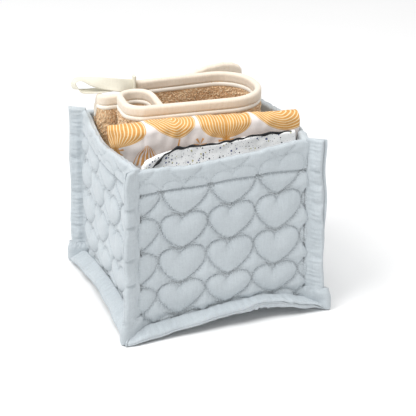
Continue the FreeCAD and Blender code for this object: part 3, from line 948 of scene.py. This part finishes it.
def fold_path(points, radii, step):
    """Plan of a fold: straight runs joined by arcs, as even steps, with its length."""
    points = [np.array(p, float) for p in points]
    route = [points[0][None]]
    for before, corner, after, radius in zip(points, points[1:], points[2:], radii):
        back, ahead = unit(before - corner), unit(after - corner)
        half_turn = (math.pi - math.acos(np.clip(back @ ahead, -1, 1))) / 2
        centre = corner + unit(back + ahead) * radius / math.cos(half_turn)
        start = corner + back * radius * math.tan(half_turn) - centre
        way = -math.copysign(1, back[0] * ahead[1] - back[1] * ahead[0])
        angles = math.atan2(start[1], start[0]) + way * np.linspace(0, 2 * half_turn, 40)
        route.append(centre + radius * np.stack([np.cos(angles), np.sin(angles)], axis=-1))
    route.append(points[-1][None])
    route = np.concatenate(route)
    length = line_length(route)
    places = np.linspace(0, length[-1], int(length[-1] / step) + 1)
    return points_along(route, length, places), places


# The towel's two folds: the plan of each path with the radii of its turns, the height above
# which its loops of pile can be seen, and how far its bound edge is drawn out at the far end.
TOWEL_FOLDS = {
    "front": dict(path=[(-41.5, 69.5), (81.5, 67.0), (81.5, -25.0), (-74.5, -9.5), (-70.0, 51.0),
                        (-36.0, 38.0), (-33.0, -3.0)],
                  radii=[38.0, 42.0, 19.0, 17.0, 21.0], loops_from=184.0, drift=0.0, seed=50),
    "rear": dict(path=[(-60.0, 50.0), (-86.0, 50.0), (-85.0, 81.5), (30.0, 81.0), (85.0, 83.0)],
                 radii=[8.0, 11.0, 60.0], loops_from=166.0, drift=5.5, seed=60),
}
LOOP_AREA = 3.8                # one loop of pile stands on this many square millimetres
LOOP_THICK = 0.75              # thickness of its thread
TERRY_HALF = 2.1               # half the thickness of the terry without its loops
BINDING_HALF = 3.5             # and of the bound edge
PIPING_HALF = 2.6              # and of the piping at its upper and lower edges
PIPING_ROUND = 1.35            # the piping's sides swell out this much further
PIPING_OVER = 0.6              # the piping reaches this far past its CAD node, up and down
FINE_FROM = 150.0              # the terry's grid is fine above this height, coarse below


def strip_solid(path, places, heights, half_thick, lift, end_drift):
    """A strip of cloth standing on edge along a plan path. heights runs from its foot to its
    top; half_thick(s, z) and lift(s, z) shape it, and its far end is drawn out by end_drift."""
    heading = unit(np.gradient(path, axis=0))
    normal = np.stack([-heading[:, 1], heading[:, 0]], axis=-1)
    s_grid, z_grid = np.meshgrid(places, heights, indexing="ij")
    half_pos, half_neg = half_thick(s_grid, z_grid)
    rise = z_grid + lift(s_grid, z_grid)
    path = path + heading * (end_drift * smooth((places - places[-1] + 45) / 45))[:, None]
    upper = np.dstack([path[:, None, :] + normal[:, None, :] * half_pos[..., None], rise])
    lower = np.dstack([path[:, None, :] - normal[:, None, :] * half_neg[..., None], rise])
    flat = np.stack([s_grid, z_grid], axis=-1)
    return upper, lower, flat


def pile_loops(name, faces_of_terry, seed, material):
    """Loops of terry pile that stand out from both faces of a towel."""
    rng = np.random.default_rng(seed)
    middle = (faces_of_terry[0] + faces_of_terry[1]) / 2
    loops = []
    for face in faces_of_terry:
        normal = grid_normals(face)
        flow, rise = np.gradient(face, axis=(0, 1))
        cell = np.linalg.norm(flow, axis=-1).mean() * np.linalg.norm(rise, axis=-1).mean()
        count = int(face.shape[0] * face.shape[1] * cell / LOOP_AREA)
        i, j = rng.integers(1, face.shape[0] - 1, count), rng.integers(0, face.shape[1] - 1, count)
        base = face[i, j] + (face[i, j + 1] - face[i, j]) * rng.uniform(0, 1, (count, 1))
        base = base + flow[i, j] * rng.uniform(-0.5, 0.5, (count, 1))
        from_middle = (normal[i, j] * (face - middle)[i, j]).sum(-1, keepdims=True)
        out = normal[i, j] * np.sign(from_middle)
        slant = rng.uniform(0, TAU, count)[:, None]
        along = unit(flow[i, j]) * np.cos(slant) + UP * np.sin(slant)
        out = unit(out + 0.5 * along * rng.normal(0, 1, (count, 1)) - (0, 0, 0.35))
        across = unit(np.cross(out, along))
        size = rng.uniform(0.95, 1.6, (count, 1))
        rings = []
        for angle in (-15, 35, 90, 145, 195):
            c, s = math.cos(math.radians(angle)), math.sin(math.radians(angle))
            centre = base + (along * c + out * (s + 0.15)) * size
            for turned in (0, 90, 180, 270):
                tc, ts = math.cos(math.radians(turned)), math.sin(math.radians(turned))
                rings.append(centre + ((along * c + out * s) * tc + across * ts) * LOOP_THICK / 2)
        loops.append(np.stack(rings, axis=1))
    points = np.concatenate(loops)
    uv = np.repeat(rng.uniform(0, 400, (len(points), 2)), 20, axis=0)
    finished(tubes(name, points, uv), "terry_towel", "terry", material)


def front_rise(s, end):
    """The front fold's edge sinks towards the end that is rolled inside."""
    return -7.0 * smooth((s - end + 46) / 44)


def rear_rise(s, _):
    """The rear fold sinks behind its left end and stands up in a hump near its right end."""
    return through([(-1, -0.6), (20, -0.3), (31, -0.6), (45, -16), (80, -16), (125, -7), (150, -1.8),
                    (162, 2.0), (172, 5.5), (184, 8.2), (198, 9.2), (208, 7.8), (214, 5), (220, -1)], s)


def towel_fold(which, rise, material_of):
    """Terry standing on edge, its bound top edge, and the piping under that. rise(s, end)
    is how far the edge stands above the CAD model's at s along the path."""
    facts = TOWEL_FOLDS[which]
    names = ["towel_%s_%s" % (which, part) for part in ("terry", "binding", "piping")]
    (terry_low, terry_high), (bind_low, bind_high), (pipe_low, pipe_high) = (cad(name) for name in names)
    path, places = fold_path(facts["path"], facts["radii"], 1.2 * STEP)
    seed, drift = facts["seed"], facts["drift"]
    pile, soft = waves(seed, 2.6, 16), waves(seed + 1, 34.0)
    end_round = rounded(np.minimum(places, places[-1] - places)[:, None] / 2.0, 0.05)

    def lift(s, z):
        return rise(s, places[-1]) * smooth((z - 150) / 50)

    # terry
    top = terry_high[2] - 1.0
    heights = np.concatenate([np.arange(terry_low[2], FINE_FROM, 6.0),
                              np.arange(FINE_FROM, top, 1.2 * STEP), [top]])

    def terry_half(s, z):
        base = TERRY_HALF * rounded((z - terry_low[2]) / 2.0, 0.1) * end_round
        fine = smooth((z - 140) / 15) * 0.42
        return (np.maximum(base + fine * pile(s, z) + 0.3 * soft(s, z), 0.3),
                np.maximum(base + fine * pile(s, z + 70) - 0.3 * soft(s, z), 0.3))

    upper, lower, flat = strip_solid(path, places, heights, terry_half, lift, 0.0)
    terry = shell(names[0] + "_cloth", lower, upper, flat)
    rows = (heights > facts["loops_from"]) & (heights < pipe_low[2] - PIPING_OVER)
    pile_loops(names[0] + "_loops", [upper[:, rows], lower[:, rows]], seed + 5, material_of["loops"])
    finished(terry, "terry_towel", "terry", material_of["terry"], names[0])

    # binding, folded over the top edge
    low, high = bind_low[2] + 0.2, bind_high[2]
    heights = low + (high - low) * eased(int(20 / STEP), 0.85)
    tall = high - low
    pull = waves(seed + 2, 7.0)

    def bind_half(s, z):
        t = (z - low) / tall
        shape = round_off(t, 0.22, 0.30) * BINDING_HALF + 0.15
        crease = 0.07 * pull(s, z * 0.35) * np.sin(math.pi * np.clip(t, 0, 1))
        body = (shape + 0.12 * soft(s, z)) * end_round
        return np.maximum(body + crease, 0.15), np.maximum(body - crease, 0.15)

    upper, lower, flat = strip_solid(path, places, heights, bind_half, lift, drift)
    binding = shell(names[1] + "_cloth", lower, upper, flat)
    finished(binding, "terry_towel", "binding", material_of["binding"], names[1])

    # piping
    p_low, p_high = pipe_low[2] - PIPING_OVER, pipe_high[2] + PIPING_OVER
    heights = p_low + (p_high - p_low) * eased(int(12 / STEP), 0.9)

    def pipe_half(s, z):
        t = (z - p_low) / (p_high - p_low)
        swell = PIPING_ROUND * np.sqrt(np.clip(1 - (2 * t - 1) ** 2, 0, 1))
        body = (PIPING_HALF + swell + 0.1 * soft(s, 9.0)) * end_round
        return body, body

    upper, lower, flat = strip_solid(path, places, heights, pipe_half, lift, drift)
    piping = shell(names[2] + "_cord", lower, upper, flat)
    finished(piping, "terry_towel", "piping", material_of["piping"], names[2])


# ------------------------------------------------------------ folded cloths

CLOTH_THICK = 1.5              # thickness of the printed and speckled cloths
CLOTH_LIFT = 0.3               # their lower edges are this far above those of the CAD model
SPREAD_LEFT = 12.4             # the printed cloth's left end stands out this much at its top
SPREAD_RIGHT = 10.9            # and its right end this much


def flat_cloth(a, down):
    """No crease anywhere."""
    return 0.0 * a


def folded_sheet(x, front, back, top, low, radius, thick, crease, flow):
    """One hairpin of cloth: up the front, over the top fold and down the back.
    front, back and top are lines over x. flow(across, down) is the cloth's unevenness and
    crease(across, down) how far it is pressed in. Gives the outer and the inner face of the
    sheet and its flat coordinates, across it and down from the fold."""
    along = line_length(np.stack([x, front], axis=-1))
    heights = np.concatenate([np.linspace(0, 0.6, 10)[:-1], np.linspace(0.6, 1, int(50 / STEP))])
    grid, flat = [], []
    fold = np.minimum(radius, (back - front) / 2)
    middle = (front + back) / 2
    for share in heights:
        z = low + (top - fold - low) * share
        grid.append(np.stack([x, front, z], axis=-1))
        flat.append(np.stack([along, top - fold - z + fold * math.pi / 2], axis=-1))
    for angle in np.linspace(180, 0, 12)[1:-1]:
        c, s = math.cos(math.radians(angle)), math.sin(math.radians(angle))
        grid.append(np.stack([x, middle + (back - front) / 2 * c, top - fold + fold * s], axis=-1))
        flat.append(np.stack([along, fold * math.radians(angle - 90)], axis=-1))
    for share in heights[::-1]:
        z = low + (top - fold - low) * share
        grid.append(np.stack([x, back, z], axis=-1))
        flat.append(np.stack([along, -(top - fold - z + fold * math.pi / 2)], axis=-1))
    grid, flat = np.stack(grid, axis=1), np.stack(flat, axis=1)
    bend = flow(flat[..., 0], flat[..., 1]) - crease(flat[..., 0], flat[..., 1])
    centre = grid + grid_normals(grid) * bend[..., None]
    outward = grid_normals(centre)
    return centre + outward * thick / 2, centre - outward * thick / 2, flat


def fold_object(name, sheets):
    """Several hairpins of one folded cloth as one mesh."""
    parts, uvs = [], []
    for outer, inner, flat in sheets:
        points, faces = shell_parts(inner, outer)
        parts.append((points, faces))
        uvs += [flat.reshape(-1, 2)] * 2
    points, faces = join_parts(parts)
    return mesh_object(name, points, faces.tolist(), np.concatenate(uvs))


def straight(points, x):
    """Straight runs through (x, value) points."""
    xs, values = np.array(points, float).T
    return np.interp(x, xs, values)


def eased_line(points, x, reach=3.0):
    """The same with its corners softened over this reach."""
    return sum(straight(points, x + shift) for shift in np.linspace(-reach, reach, 9)) / 9


def spread_above_rim(points):
    """The ends of the cloth widen upwards as the walls lean away, and lie over the rim."""
    x, y, z = np.moveaxis(points, -1, 0)
    left = SPREAD_LEFT * smooth((z - 138) / 68) * smooth((-66 - x) / 20)
    right = SPREAD_RIGHT * smooth((z - 150) / 52) * smooth((x - 66) / 22)
    return np.stack([x - left + right, y, z], axis=-1)


def printed_cloth(material):
    """The printed cloth, folded in layers, with its left end rounded off."""
    low, high = cad("printed_cloth")
    left, right = low[0] - 0.5, high[0] + 2.0
    wave, ripple = waves(70, 60.0), waves(71, 17.0)
    front = [(left, -15.0), (-71.0, -42.5), (right, -58.5)]
    back = [(left, -12.0), (right, -42.0)]
    top = [(left, 205.0), (-82, 208.5), (-66, 213.5), (-25, 215.0),
           (21, 213.5), (52, 213.0), (right, 211.0)]
    # Each layer lies inside the one before: how far in, how much lower and how much shorter.
    layers = [(0.0, 0.0, 0.0), (2.4, 3.2, 1.0), (4.6, 6.0, 3.0)]

    def flow(a, down):
        near = smooth((90 - np.abs(down)) / 40)
        return (0.9 * wave(a, down) + 0.28 * ripple(a, down)) * near

    def crease(a, down):
        return 1.3 * dome(a, 32.0 + 0.03 * down, 1.3) * smooth((down - 6) / 8) * smooth((80 - down) / 30)

    def gentle(a, down):
        return 0.3 * wave(a, down)

    sheets = []
    for inset, drop, shorter in layers:
        start, end = left + inset * 6, right - shorter
        columns, shaped_by = (80, (flat_cloth, gentle)) if inset else (180, (crease, flow))
        x = start + (end - start) * np.linspace(0, 1, int(columns / STEP))
        y_front, y_back = eased_line(front, x) + inset, eased_line(back, x) - inset
        y_back = np.maximum(y_back, y_front + 1.6)
        height = eased_line(top, x, 12.0) - drop
        outer, inner, flat = folded_sheet(x, y_front, y_back, height, low[2] + CLOTH_LIFT,
                                          8.0 - inset, CLOTH_THICK, *shaped_by)
        sheets.append((spread_above_rim(outer), spread_above_rim(inner), flat))
    cloth = fold_object("printed_cloth_folded", sheets)
    finished(cloth, "printed_cloth", "printed_cotton", material, "printed_cloth")


def speckled_cloth(material, black):
    """The speckled cloth folded once, with the uneven black line along its edge."""
    low = cad("speckled_cloth")[0]
    half = 86.0                # half the cloth's width
    askew = 3.6                # degrees it is turned in plan
    wave, ripple = waves(80, 50.0), waves(81, 13.0)
    x = np.linspace(-half, half, int(2 * half / STEP))
    top = [(-half, 172), (-84, 181), (-79, 187), (-66, 192), (-43, 196.5),
           (6, 194.5), (48, 196.5), (half, 194.5)]

    def flow(a, down):
        return (0.5 * wave(a, down) + 0.15 * ripple(a, down)) * smooth((90 - np.abs(down)) / 40)

    def placed(points):
        """Lean the cloth back above the rim, widen its right end there, and put it in place."""
        leaning = 7.0 * smooth((points[..., 2] - 150) / 48)
        wider = 6.0 * smooth((points[..., 2] - 150) / 42) * smooth((points[..., 0] - 56) / 30)
        points = points + np.stack([wider, leaning - 2.5, 0 * leaning], axis=-1)
        return turn(points, askew) + (0.0, -73.5, 0.0)

    height = eased_line(top, x, 2.5)
    front, back = np.full_like(x, -1.9), np.full_like(x, 1.9)
    outer, inner, flat = folded_sheet(x, front, back, height, low[2] + CLOTH_LIFT, 2.0, CLOTH_THICK,
                                      flat_cloth, flow)
    cloth = fold_object("speckled_cloth_folded", [(placed(outer), placed(inner), flat)])
    finished(cloth, "speckled_cloth", "speckled_cotton", material, "speckled_cloth")

    # The line climbs the cloth's face at the left and rides on the fold further right.
    route = np.array([(-76, 168), (-74.5, 178), (-67, 186.5), (-59, 191.5), (-43, 195.6), (-20, 194.6),
                      (6, 193.6), (20, 194.6), (48, 195.6), (66, 194.6), (84, 193.8)], float)
    length = line_length(route)
    places = np.linspace(0, length[-1], int(190 / STEP))
    x, z = points_along(route, length, places).T
    ride = smooth((x + 62) / 16)
    z = z + 0.55 * waves(83, 13.0)(places) + 0.35 * waves(84, 24.0)(places, 3.0) + 1.1 * ride
    radius = np.clip(1.05 + 0.35 * waves(85, 14.0)(places), 0.75, 1.9)
    radius = radius * rounded(np.minimum(places, places[-1] - places) / 2, 0.05)
    outer, inner = [], []
    for around in np.linspace(-90, 90, 9):
        c, s = math.cos(math.radians(around)), math.sin(math.radians(around))
        outer.append(np.stack([x, 1.7 * ride - 2.9 - 0.8 * radius * c, z + radius * s], axis=-1))
        inner.append(np.stack([x, 1.7 * ride - 2.1, z + radius * s], axis=-1))
    flat = np.stack(np.meshgrid(places, np.arange(9) * 0.3, indexing="ij"), axis=-1)
    edging = shell("speckled_cloth_black_line", placed(np.stack(outer, axis=1)),
                   placed(np.stack(inner, axis=1)), flat)
    finished(edging, "speckled_cloth", "black_thread", black, "speckled_cloth_edging")


# --------------------------------------------------------------- tape loop

# The tape's two edges, from the sewn end out along the upper strand, round the open eye at
# its far end, and back along the lower strand. First the edge nearer the front, then the other.
TAPE_EDGES = [((-43.8, 64.5, 213.2), (-43.8, 67.6, 226.8)), ((-53, 62, 214.6), (-52, 67.2, 228.2)),
              ((-65, 58, 217.6), (-62, 66.5, 229.7)), ((-81.7, 59, 222.4), (-77.8, 66.5, 233.2)),
              ((-95.4, 58.2, 228.6), (-91, 69, 234.6)), ((-104.8, 59, 234.2), (-101.5, 72, 234.4)),
              ((-110.2, 59.5, 234.8), (-109.4, 73, 234.0)), ((-112.4, 59.8, 232.2), (-113.6, 73.2, 229.4)),
              ((-110.2, 59.5, 228.0), (-111.6, 72.6, 222.6)), ((-105.6, 57.8, 222.4), (-99, 71.2, 221.7)),
              ((-95.7, 57, 220.2), (-91, 71, 221.0)), ((-81, 57.6, 218.6), (-79, 71.5, 219.6)),
              ((-66, 60.5, 218.4), (-65, 72, 221.0)), ((-53, 64, 216.0), (-53, 69.6, 224.0)),
              ((-43.8, 65.2, 213.6), (-43.8, 68.6, 225.4))]
TAPE_THICK = 1.1
TAB_SUNK = 4.5                 # the upright end of tape has slumped this much


def spline(points, count):
    """A smooth line through points (Catmull-Rom), evenly sampled in its parameter."""
    points = np.array(points, float)
    padded = np.concatenate([[2 * points[0] - points[1]], points, [2 * points[-1] - points[-2]]])
    place = np.linspace(0, len(points) - 1.0001, count)
    k = place.astype(int)
    t = (place - k)[:, None]
    a, b, c, d = padded[k], padded[k + 1], padded[k + 2], padded[k + 3]
    return 0.5 * (2 * b + (c - a) * t + (2 * a - 5 * b + 4 * c - d) * t ** 2
                  + (3 * b - a - 3 * c + d) * t ** 3)


def tape_loop(material):
    """The hanging loop: one strip of cotton tape that goes out, turns and comes back."""
    count = int(240 / STEP)
    front, rear = (spline([pair[k] for pair in TAPE_EDGES], count) for k in (0, 1))
    middle, width = (front + rear) / 2, (rear - front) / 2
    face = unit(np.cross(np.gradient(middle, axis=0), width))
    t = np.linspace(-1, 1, 17)
    length = line_length(middle)
    cup = 0.35 * (t ** 2)[None, :] * waves(90, 30.0)(length, 0.0)[:, None]
    half = TAPE_THICK / 2 * np.clip(1.15 - np.abs(t) ** 8 * 0.6, 0.2, 1)[None, :]
    centre = middle[:, None, :] + width[:, None, :] * t[None, :, None]
    centre = centre + face[:, None, :] * cup[..., None]
    upper = centre + face[:, None, :] * half[..., None]
    lower = centre - face[:, None, :] * half[..., None]
    wide = 2 * np.linalg.norm(width, axis=1)
    flat = np.stack([np.repeat(length[:, None], 17, axis=1), wide[:, None] / 2 * t[None, :]], axis=-1)
    tape = shell("tape_loop", upper, lower, flat)
    tape.data.materials.append(material)
    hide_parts("hanging_loop")
    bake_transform(tape)


def hanger_tab(material):
    """The upright end of folded tape that the loop is sewn under."""
    low, high = cad("hanger_tab")
    centre = (low + high) / 2
    t, v = np.meshgrid(eased(12, 0.8), eased(40, 0.5), indexing="ij")
    y = low[1] + (high[1] - low[1]) * t
    z = low[2] + (high[2] - TAB_SUNK - low[2]) * v
    lean = 1.2 * v ** 2
    half = np.maximum(1.45 * round_off(t, 0.2, 0.2) * round_off(v, 0.04, 0.06), 0.15)
    middle = np.stack([np.full_like(y, centre[0]) + lean * 0.4, y, z], axis=-1)
    shift = np.stack([half, 0 * half, 0 * half], axis=-1)
    tab = shell("hanger_tab_cloth", middle + shift, middle - shift, np.stack([y, z], axis=-1))
    finished(tab, "terry_towel", "tape", material, "hanger_tab")


# --------------------------------------------------------------- materials

def terry_material():
    """Tan towelling, clouded and faintly ribbed, under the loops of its pile. Its colour follows its pile
    bump, with painted shade in the hollows and painted light on the tips.
    """
    material, tree, shader = cloth_material("terry cotton", 0.95, 0.35, 0.4, 0.2)
    x, y = flat_place(tree)
    loops = noise(tree, x, y, 1.5, 2.0, 0.6, 2.0)
    fine = noise(tree, x, y, 0.6, 1.0, 0.5, 4.0)
    rows = noise(tree, x, y, (3.0, 22.0), 2.0, 0.6, 6.0)
    clouds = noise(tree, x, y, 26.0, 2.0, 0.5, 8.0)
    # The loops and fine noises also make the bump, so the colour is darker where the pile is low and
    # lighter where it is high: painted shade and painted light. The rows and clouds are the towelling's
    # own uneven tone
    share = (loops - 0.5) * 1.5 + (fine - 0.5) * 0.8 + (rows - 0.5) * 0.6 + (clouds - 0.5) * 0.7 + 0.55
    colour = mix(tree, share.step(0.0, 1.0), (0.90, 0.55, 0.29), (1.0, 0.80, 0.54))
    finish_material(tree, shader, colour, loops + fine * 0.5, 0.7)
    return material


PRINT_WIDE, PRINT_TALL = 56.5, 84.0    # spacing of the print's motifs, across and down


def ray_fan(aside, down, close, thin, reach):
    """Ink in rays that spread from a point and end on a circle."""
    rays = (down.math("ARCTAN2", aside) * close).math("COSINE").step(thin, 0.7)
    return rays * ((aside ** 2.0 + down ** 2.0) ** 0.5).step(reach, reach - 1.5)


def print_heads(dx, fall, odd):
    """Rings about the heads of the print: round bulbs, and leaning, pointed buds where odd."""
    below, above = fall.math("MAXIMUM", 0.0), (fall * -1.0).math("MAXIMUM", 0.0)
    low, high = (fall - 8.0).math("MAXIMUM", 0.0) / 17.5, (fall * -1.0 + 8.0).math("MAXIMUM", 0.0) / 46.0
    bulb = dx.math("ABSOLUTE") / (1.0 - low * low - high * high).math("MAXIMUM", 0.02) ** 0.5 - 3.0
    lean = (dx - below * 0.27).math("ABSOLUTE")
    bud = ((lean ** 1.5 + (below * 1.12) ** 1.5) ** (4 / 3) + (above * 0.6) ** 2.0) ** 0.5
    return bud * odd + bulb * (1.0 - odd)


def print_ink(dx, fall, odd):
    """The print's smaller motifs, which hang below its heads."""
    even = 1.0 - odd
    # A half-hidden striped dome between a bulb and the next bud.
    gap = (PRINT_WIDE / 2 - dx * (even - odd)).math("ABSOLUTE")
    tip = (fall - 24.0).math("MAXIMUM", 0.001)
    ring = gap / (tip ** 0.75 * 1.5)
    stripes = (ring * (TAU * 3.0)).math("COSINE").step(-0.5, 0.2)
    dome_ink = ring.step(1.0, 0.94) * fall.step(24.0, 24.5) * stripes
    # Stems under the heads, a spray under each bulb and a fan beside it.
    stem = (dx - odd * 6.5 + (fall - 22.0) * odd * 0.2).math("ABSOLUTE").step(1.5, 0.8)
    stem = stem * fall.step(22.0, 24.0) * fall.step(42.0, 36.0)
    spray = fall - 28.0
    rays = ray_fan(dx.math("ABSOLUTE"), spray, 7.0, 0.2, 9.0) * spray.step(-4.5, -3.0) * even
    leaf = fall - 31.0
    fan = ray_fan(PRINT_WIDE - gap, leaf, 6.0, 0.1, 8.5) * leaf.step(2.0, 0.0)
    return stem.math("MAXIMUM", rays).math("MAXIMUM", fan).math("MAXIMUM", dome_ink)


def print_material():
    """Cream cotton printed in yellow and orange. Striped round bulbs and striped leaning buds
    take turns across it, with sprays, stems, small fans and half-hidden domes below them."""
    material, tree, shader = cloth_material("printed cotton", 0.85, 0.2)
    x, y = flat_place(tree)
    wobble = (noise(tree, x, y, 16.0, 1.0, 0.5, 9.0) - 0.5) * 3.0
    along = x + 21.4
    cell = (along / PRINT_WIDE).math("FLOOR")
    odd = cell.math("PINGPONG", 1.0)
    dx = along - cell * PRINT_WIDE - PRINT_WIDE / 2 + wobble
    fall = y + 38.0
    fall = fall - (fall / PRINT_TALL).math("FLOOR") * PRINT_TALL - 38.0
    ring = print_heads(dx, fall, odd)
    stripes = (ring * (TAU / 3.1) + wobble * 0.6).math("SINE").step(-0.85, -0.20)
    head = ring.step(25.6, 24.9)
    ink = print_ink(dx, fall, odd)
    weave = threads(tree, x, y, 0.45)
    clouds = noise(tree, x, y, 30.0, 3.0, 0.5, 5.0)
    shade = ((weave - 0.5) + (clouds - 0.5) * 0.8 + 0.5).step(0.0, 1.0)
    ground = mix(tree, shade, (0.78, 0.71, 0.68), (0.92, 0.86, 0.83))
    orange = mix(tree, (weave + clouds - 0.5).step(0.1, 0.9), (0.56, 0.23, 0.035), (0.76, 0.36, 0.075))
    yellow = mix(tree, weave, (0.84, 0.64, 0.34), (0.93, 0.77, 0.50))
    worn = 0.9 + (noise(tree, x, y, 3.0, 2.0, 0.6, 12.0) - 0.5) * 0.4
    pattern = mix(tree, head, ground, mix(tree, stripes * worn, yellow, orange))
    finish_material(tree, shader, mix(tree, ink * worn, pattern, orange), weave, 0.08,
                    0.85 + (clouds - 0.5) * 0.1)
    return material


def speckle_material():
    """White cotton with small scattered flecks of several colours."""
    material, tree, shader = cloth_material("speckled cotton", 0.85, 0.2)
    x, y = flat_place(tree)
    weave = threads(tree, x, y, 0.45)
    clouds = noise(tree, x, y, 20.0, 2.0, 0.5, 5.0)
    shade = ((weave - 0.5) + (clouds - 0.5) + 0.5).step(0.0, 1.0)
    colour = mix(tree, shade, (0.96, 0.96, 0.95), (1.0, 1.0, 1.0))
    # Spacing, size, share of places left empty, colour and seed of each kind of fleck.
    flecks = ((2.2, 0.22, 0.60, (0.40, 0.42, 0.44), 1.0), (3.8, 0.20, 0.56, (0.04, 0.045, 0.06), 2.0),
              (6.1, 0.18, 0.60, (0.10, 0.12, 0.26), 3.0), (5.2, 0.20, 0.66, (0.58, 0.55, 0.32), 4.0))
    for cell, radius, share, ink, seed in flecks:
        join = tree.nodes.new("ShaderNodeCombineXYZ")
        plug(tree, join.inputs[0], x / cell + seed * 3.7)
        plug(tree, join.inputs[1], y / cell)
        cells = tree.nodes.new("ShaderNodeTexVoronoi")
        cells.voronoi_dimensions = "2D"
        cells.inputs["Scale"].default_value = 1.0
        tree.links.new(join.outputs[0], cells.inputs["Vector"])
        pick = tree.nodes.new("ShaderNodeSeparateColor")
        tree.links.new(cells.outputs["Color"], pick.inputs[0])
        chosen = Value(tree, pick.outputs[0]).step(share, share + 0.05)
        size = Value(tree, pick.outputs[1]) * radius
        ragged = (noise(tree, x, y, 0.9, 1.0, 0.5, seed) - 0.5) * 0.16
        fleck = (Value(tree, cells.outputs["Distance"]) + ragged - size).step(0.05, 0.0) * chosen
        colour = mix(tree, fleck, colour, ink)
    finish_material(tree, shader, colour, weave, 0.08)
    return material


def thread_material(name, light, dark):
    """Twisted cotton thread: light and dark are the tones of its plies."""
    material, tree, shader = cloth_material(name, 0.7, 0.3)
    x, y = flat_place(tree)
    ply = ((x * 3.0 + y * 5.0) * TAU * 0.3).math("SINE") * 0.5 + 0.5
    fuzz = noise(tree, x, y, 0.5, 2.0, 0.6, 2.0)
    colour = mix(tree, (ply * 0.5 + fuzz * 0.5).step(0.1, 0.9), dark, light)
    finish_material(tree, shader, colour, ply, 0.06)
    return material


def floor_material():
    """The pale, matt surface that the basket stands on."""
    material, tree, shader = cloth_material("pale floor", 0.9, 0.0)
    place = tree.nodes.new("ShaderNodeTexCoord")
    grain = tree.nodes.new("ShaderNodeTexNoise")
    grain.inputs["Scale"].default_value = 6.0
    tree.links.new(place.outputs["Object"], grain.inputs["Vector"])
    colour = mix(tree, Value(tree, grain.outputs[0]), (0.955, 0.955, 0.955), (0.975, 0.975, 0.975))
    tree.links.new(colour, shader.inputs["Base Color"])
    return material


# -------------------------------------------------------------- the object

PALE_BLUE = ((0.585, 0.635, 0.665), (0.445, 0.49, 0.52))
quilted = woven("pale blue quilted cotton", *PALE_BLUE, quilted_through=True)
seam_cotton = woven("pale blue seam cotton", *PALE_BLUE, mottle=0.7)
quilting_thread = thread_material("quilting thread", (0.68, 0.74, 0.77), (0.55, 0.61, 0.64))
black_cotton = thread_material("black thread", (0.006, 0.006, 0.008), (0.002, 0.002, 0.003))
binding_cotton = woven("cream binding", (0.93, 0.835, 0.715), (0.80, 0.69, 0.56), pitch=0.5)
piping_cotton = woven("white piping", (0.98, 0.94, 0.86), (0.92, 0.87, 0.78), pitch=0.5)
tape_cotton = woven("cotton tape", (0.84, 0.81, 0.69), (0.76, 0.72, 0.60), pitch=0.7, depth=0.16)

for side in SIDES:
    wall = Wall(side)
    wall.build(quilted)
    wall_stitches(wall, quilting_thread)
    base_seam(side, seam_cotton)
for corner in CORNERS:
    corner_seam(corner, seam_cotton)
    corner_tab(corner, seam_cotton)
basket_floor(quilted)


loop_cotton = thread_material("terry loops", (1.0, 0.84, 0.60), (0.95, 0.64, 0.38))
towel_cotton = dict(terry=terry_material(), loops=loop_cotton, binding=binding_cotton,
                    piping=piping_cotton)
towel_fold("front", front_rise, towel_cotton)
towel_fold("rear", rear_rise, towel_cotton)
hanger_tab(tape_cotton)
tape_loop(tape_cotton)
printed_cloth(print_material())
speckled_cloth(speckle_material(), black_cotton)


# ------------------------------------------------ floor, light and camera

def studio():
    """A wide pale floor in a soft white room, lit from the left and from above."""
    mesh = bpy.data.meshes.new("studio_floor")
    reach = 9.0
    ground = [(-reach, -reach, 0), (reach, -reach, 0), (reach, reach, 0), (-reach, reach, 0)]
    mesh.from_pydata(ground, [], [(0, 1, 2, 3)])
    floor = bpy.data.objects.new("studio_floor", mesh)
    bpy.context.scene.collection.objects.link(floor)
    mesh.materials.append(floor_material())

    world = bpy.data.worlds.new("soft white room")
    world.use_nodes = True
    background = world.node_tree.nodes["Background"]
    background.inputs["Color"].default_value = (1.0, 1.0, 1.0, 1.0)
    background.inputs["Strength"].default_value = 0.50
    bpy.context.scene.world = world
    bpy.context.scene.view_settings.view_transform = "Standard"

    lamp("key", (-1.7, -0.4, 2.4), 1.6, 47.0)
    lamp("top", (0.0, -0.4, 2.8), 1.8, 37.0)


def lamp(name, place, size, power):
    """A square lamp that faces the basket; place and size are metres, power is watts."""
    data = bpy.data.lights.new(name, "AREA")
    data.size = size
    data.energy = power
    obj = bpy.data.objects.new(name, data)
    bpy.context.scene.collection.objects.link(obj)
    obj.location = place
    aim = Vector((0.0, 0.0, 0.1)) - Vector(place)
    obj.rotation_euler = aim.to_track_quat("-Z", "Y").to_euler()


def camera():
    """A long lens, a little to the left of the front and above it."""
    azimuth, elevation = math.radians(-20.97), math.radians(24.09)
    distance = 1.5908
    target = Vector((0.0178, 0.0, 0.0898))
    away = Vector((math.sin(azimuth) * math.cos(elevation), -math.cos(azimuth) * math.cos(elevation),
                   math.sin(elevation)))
    data = bpy.data.cameras.new("camera")
    data.sensor_width = 36.0
    data.lens = 123.8
    data.clip_end = 60.0
    obj = bpy.data.objects.new("camera", data)
    bpy.context.scene.collection.objects.link(obj)
    obj.location = target + away * distance
    obj.rotation_euler = (-away).to_track_quat("-Z", "Y").to_euler()
    bpy.context.scene.camera = obj


studio()
camera()
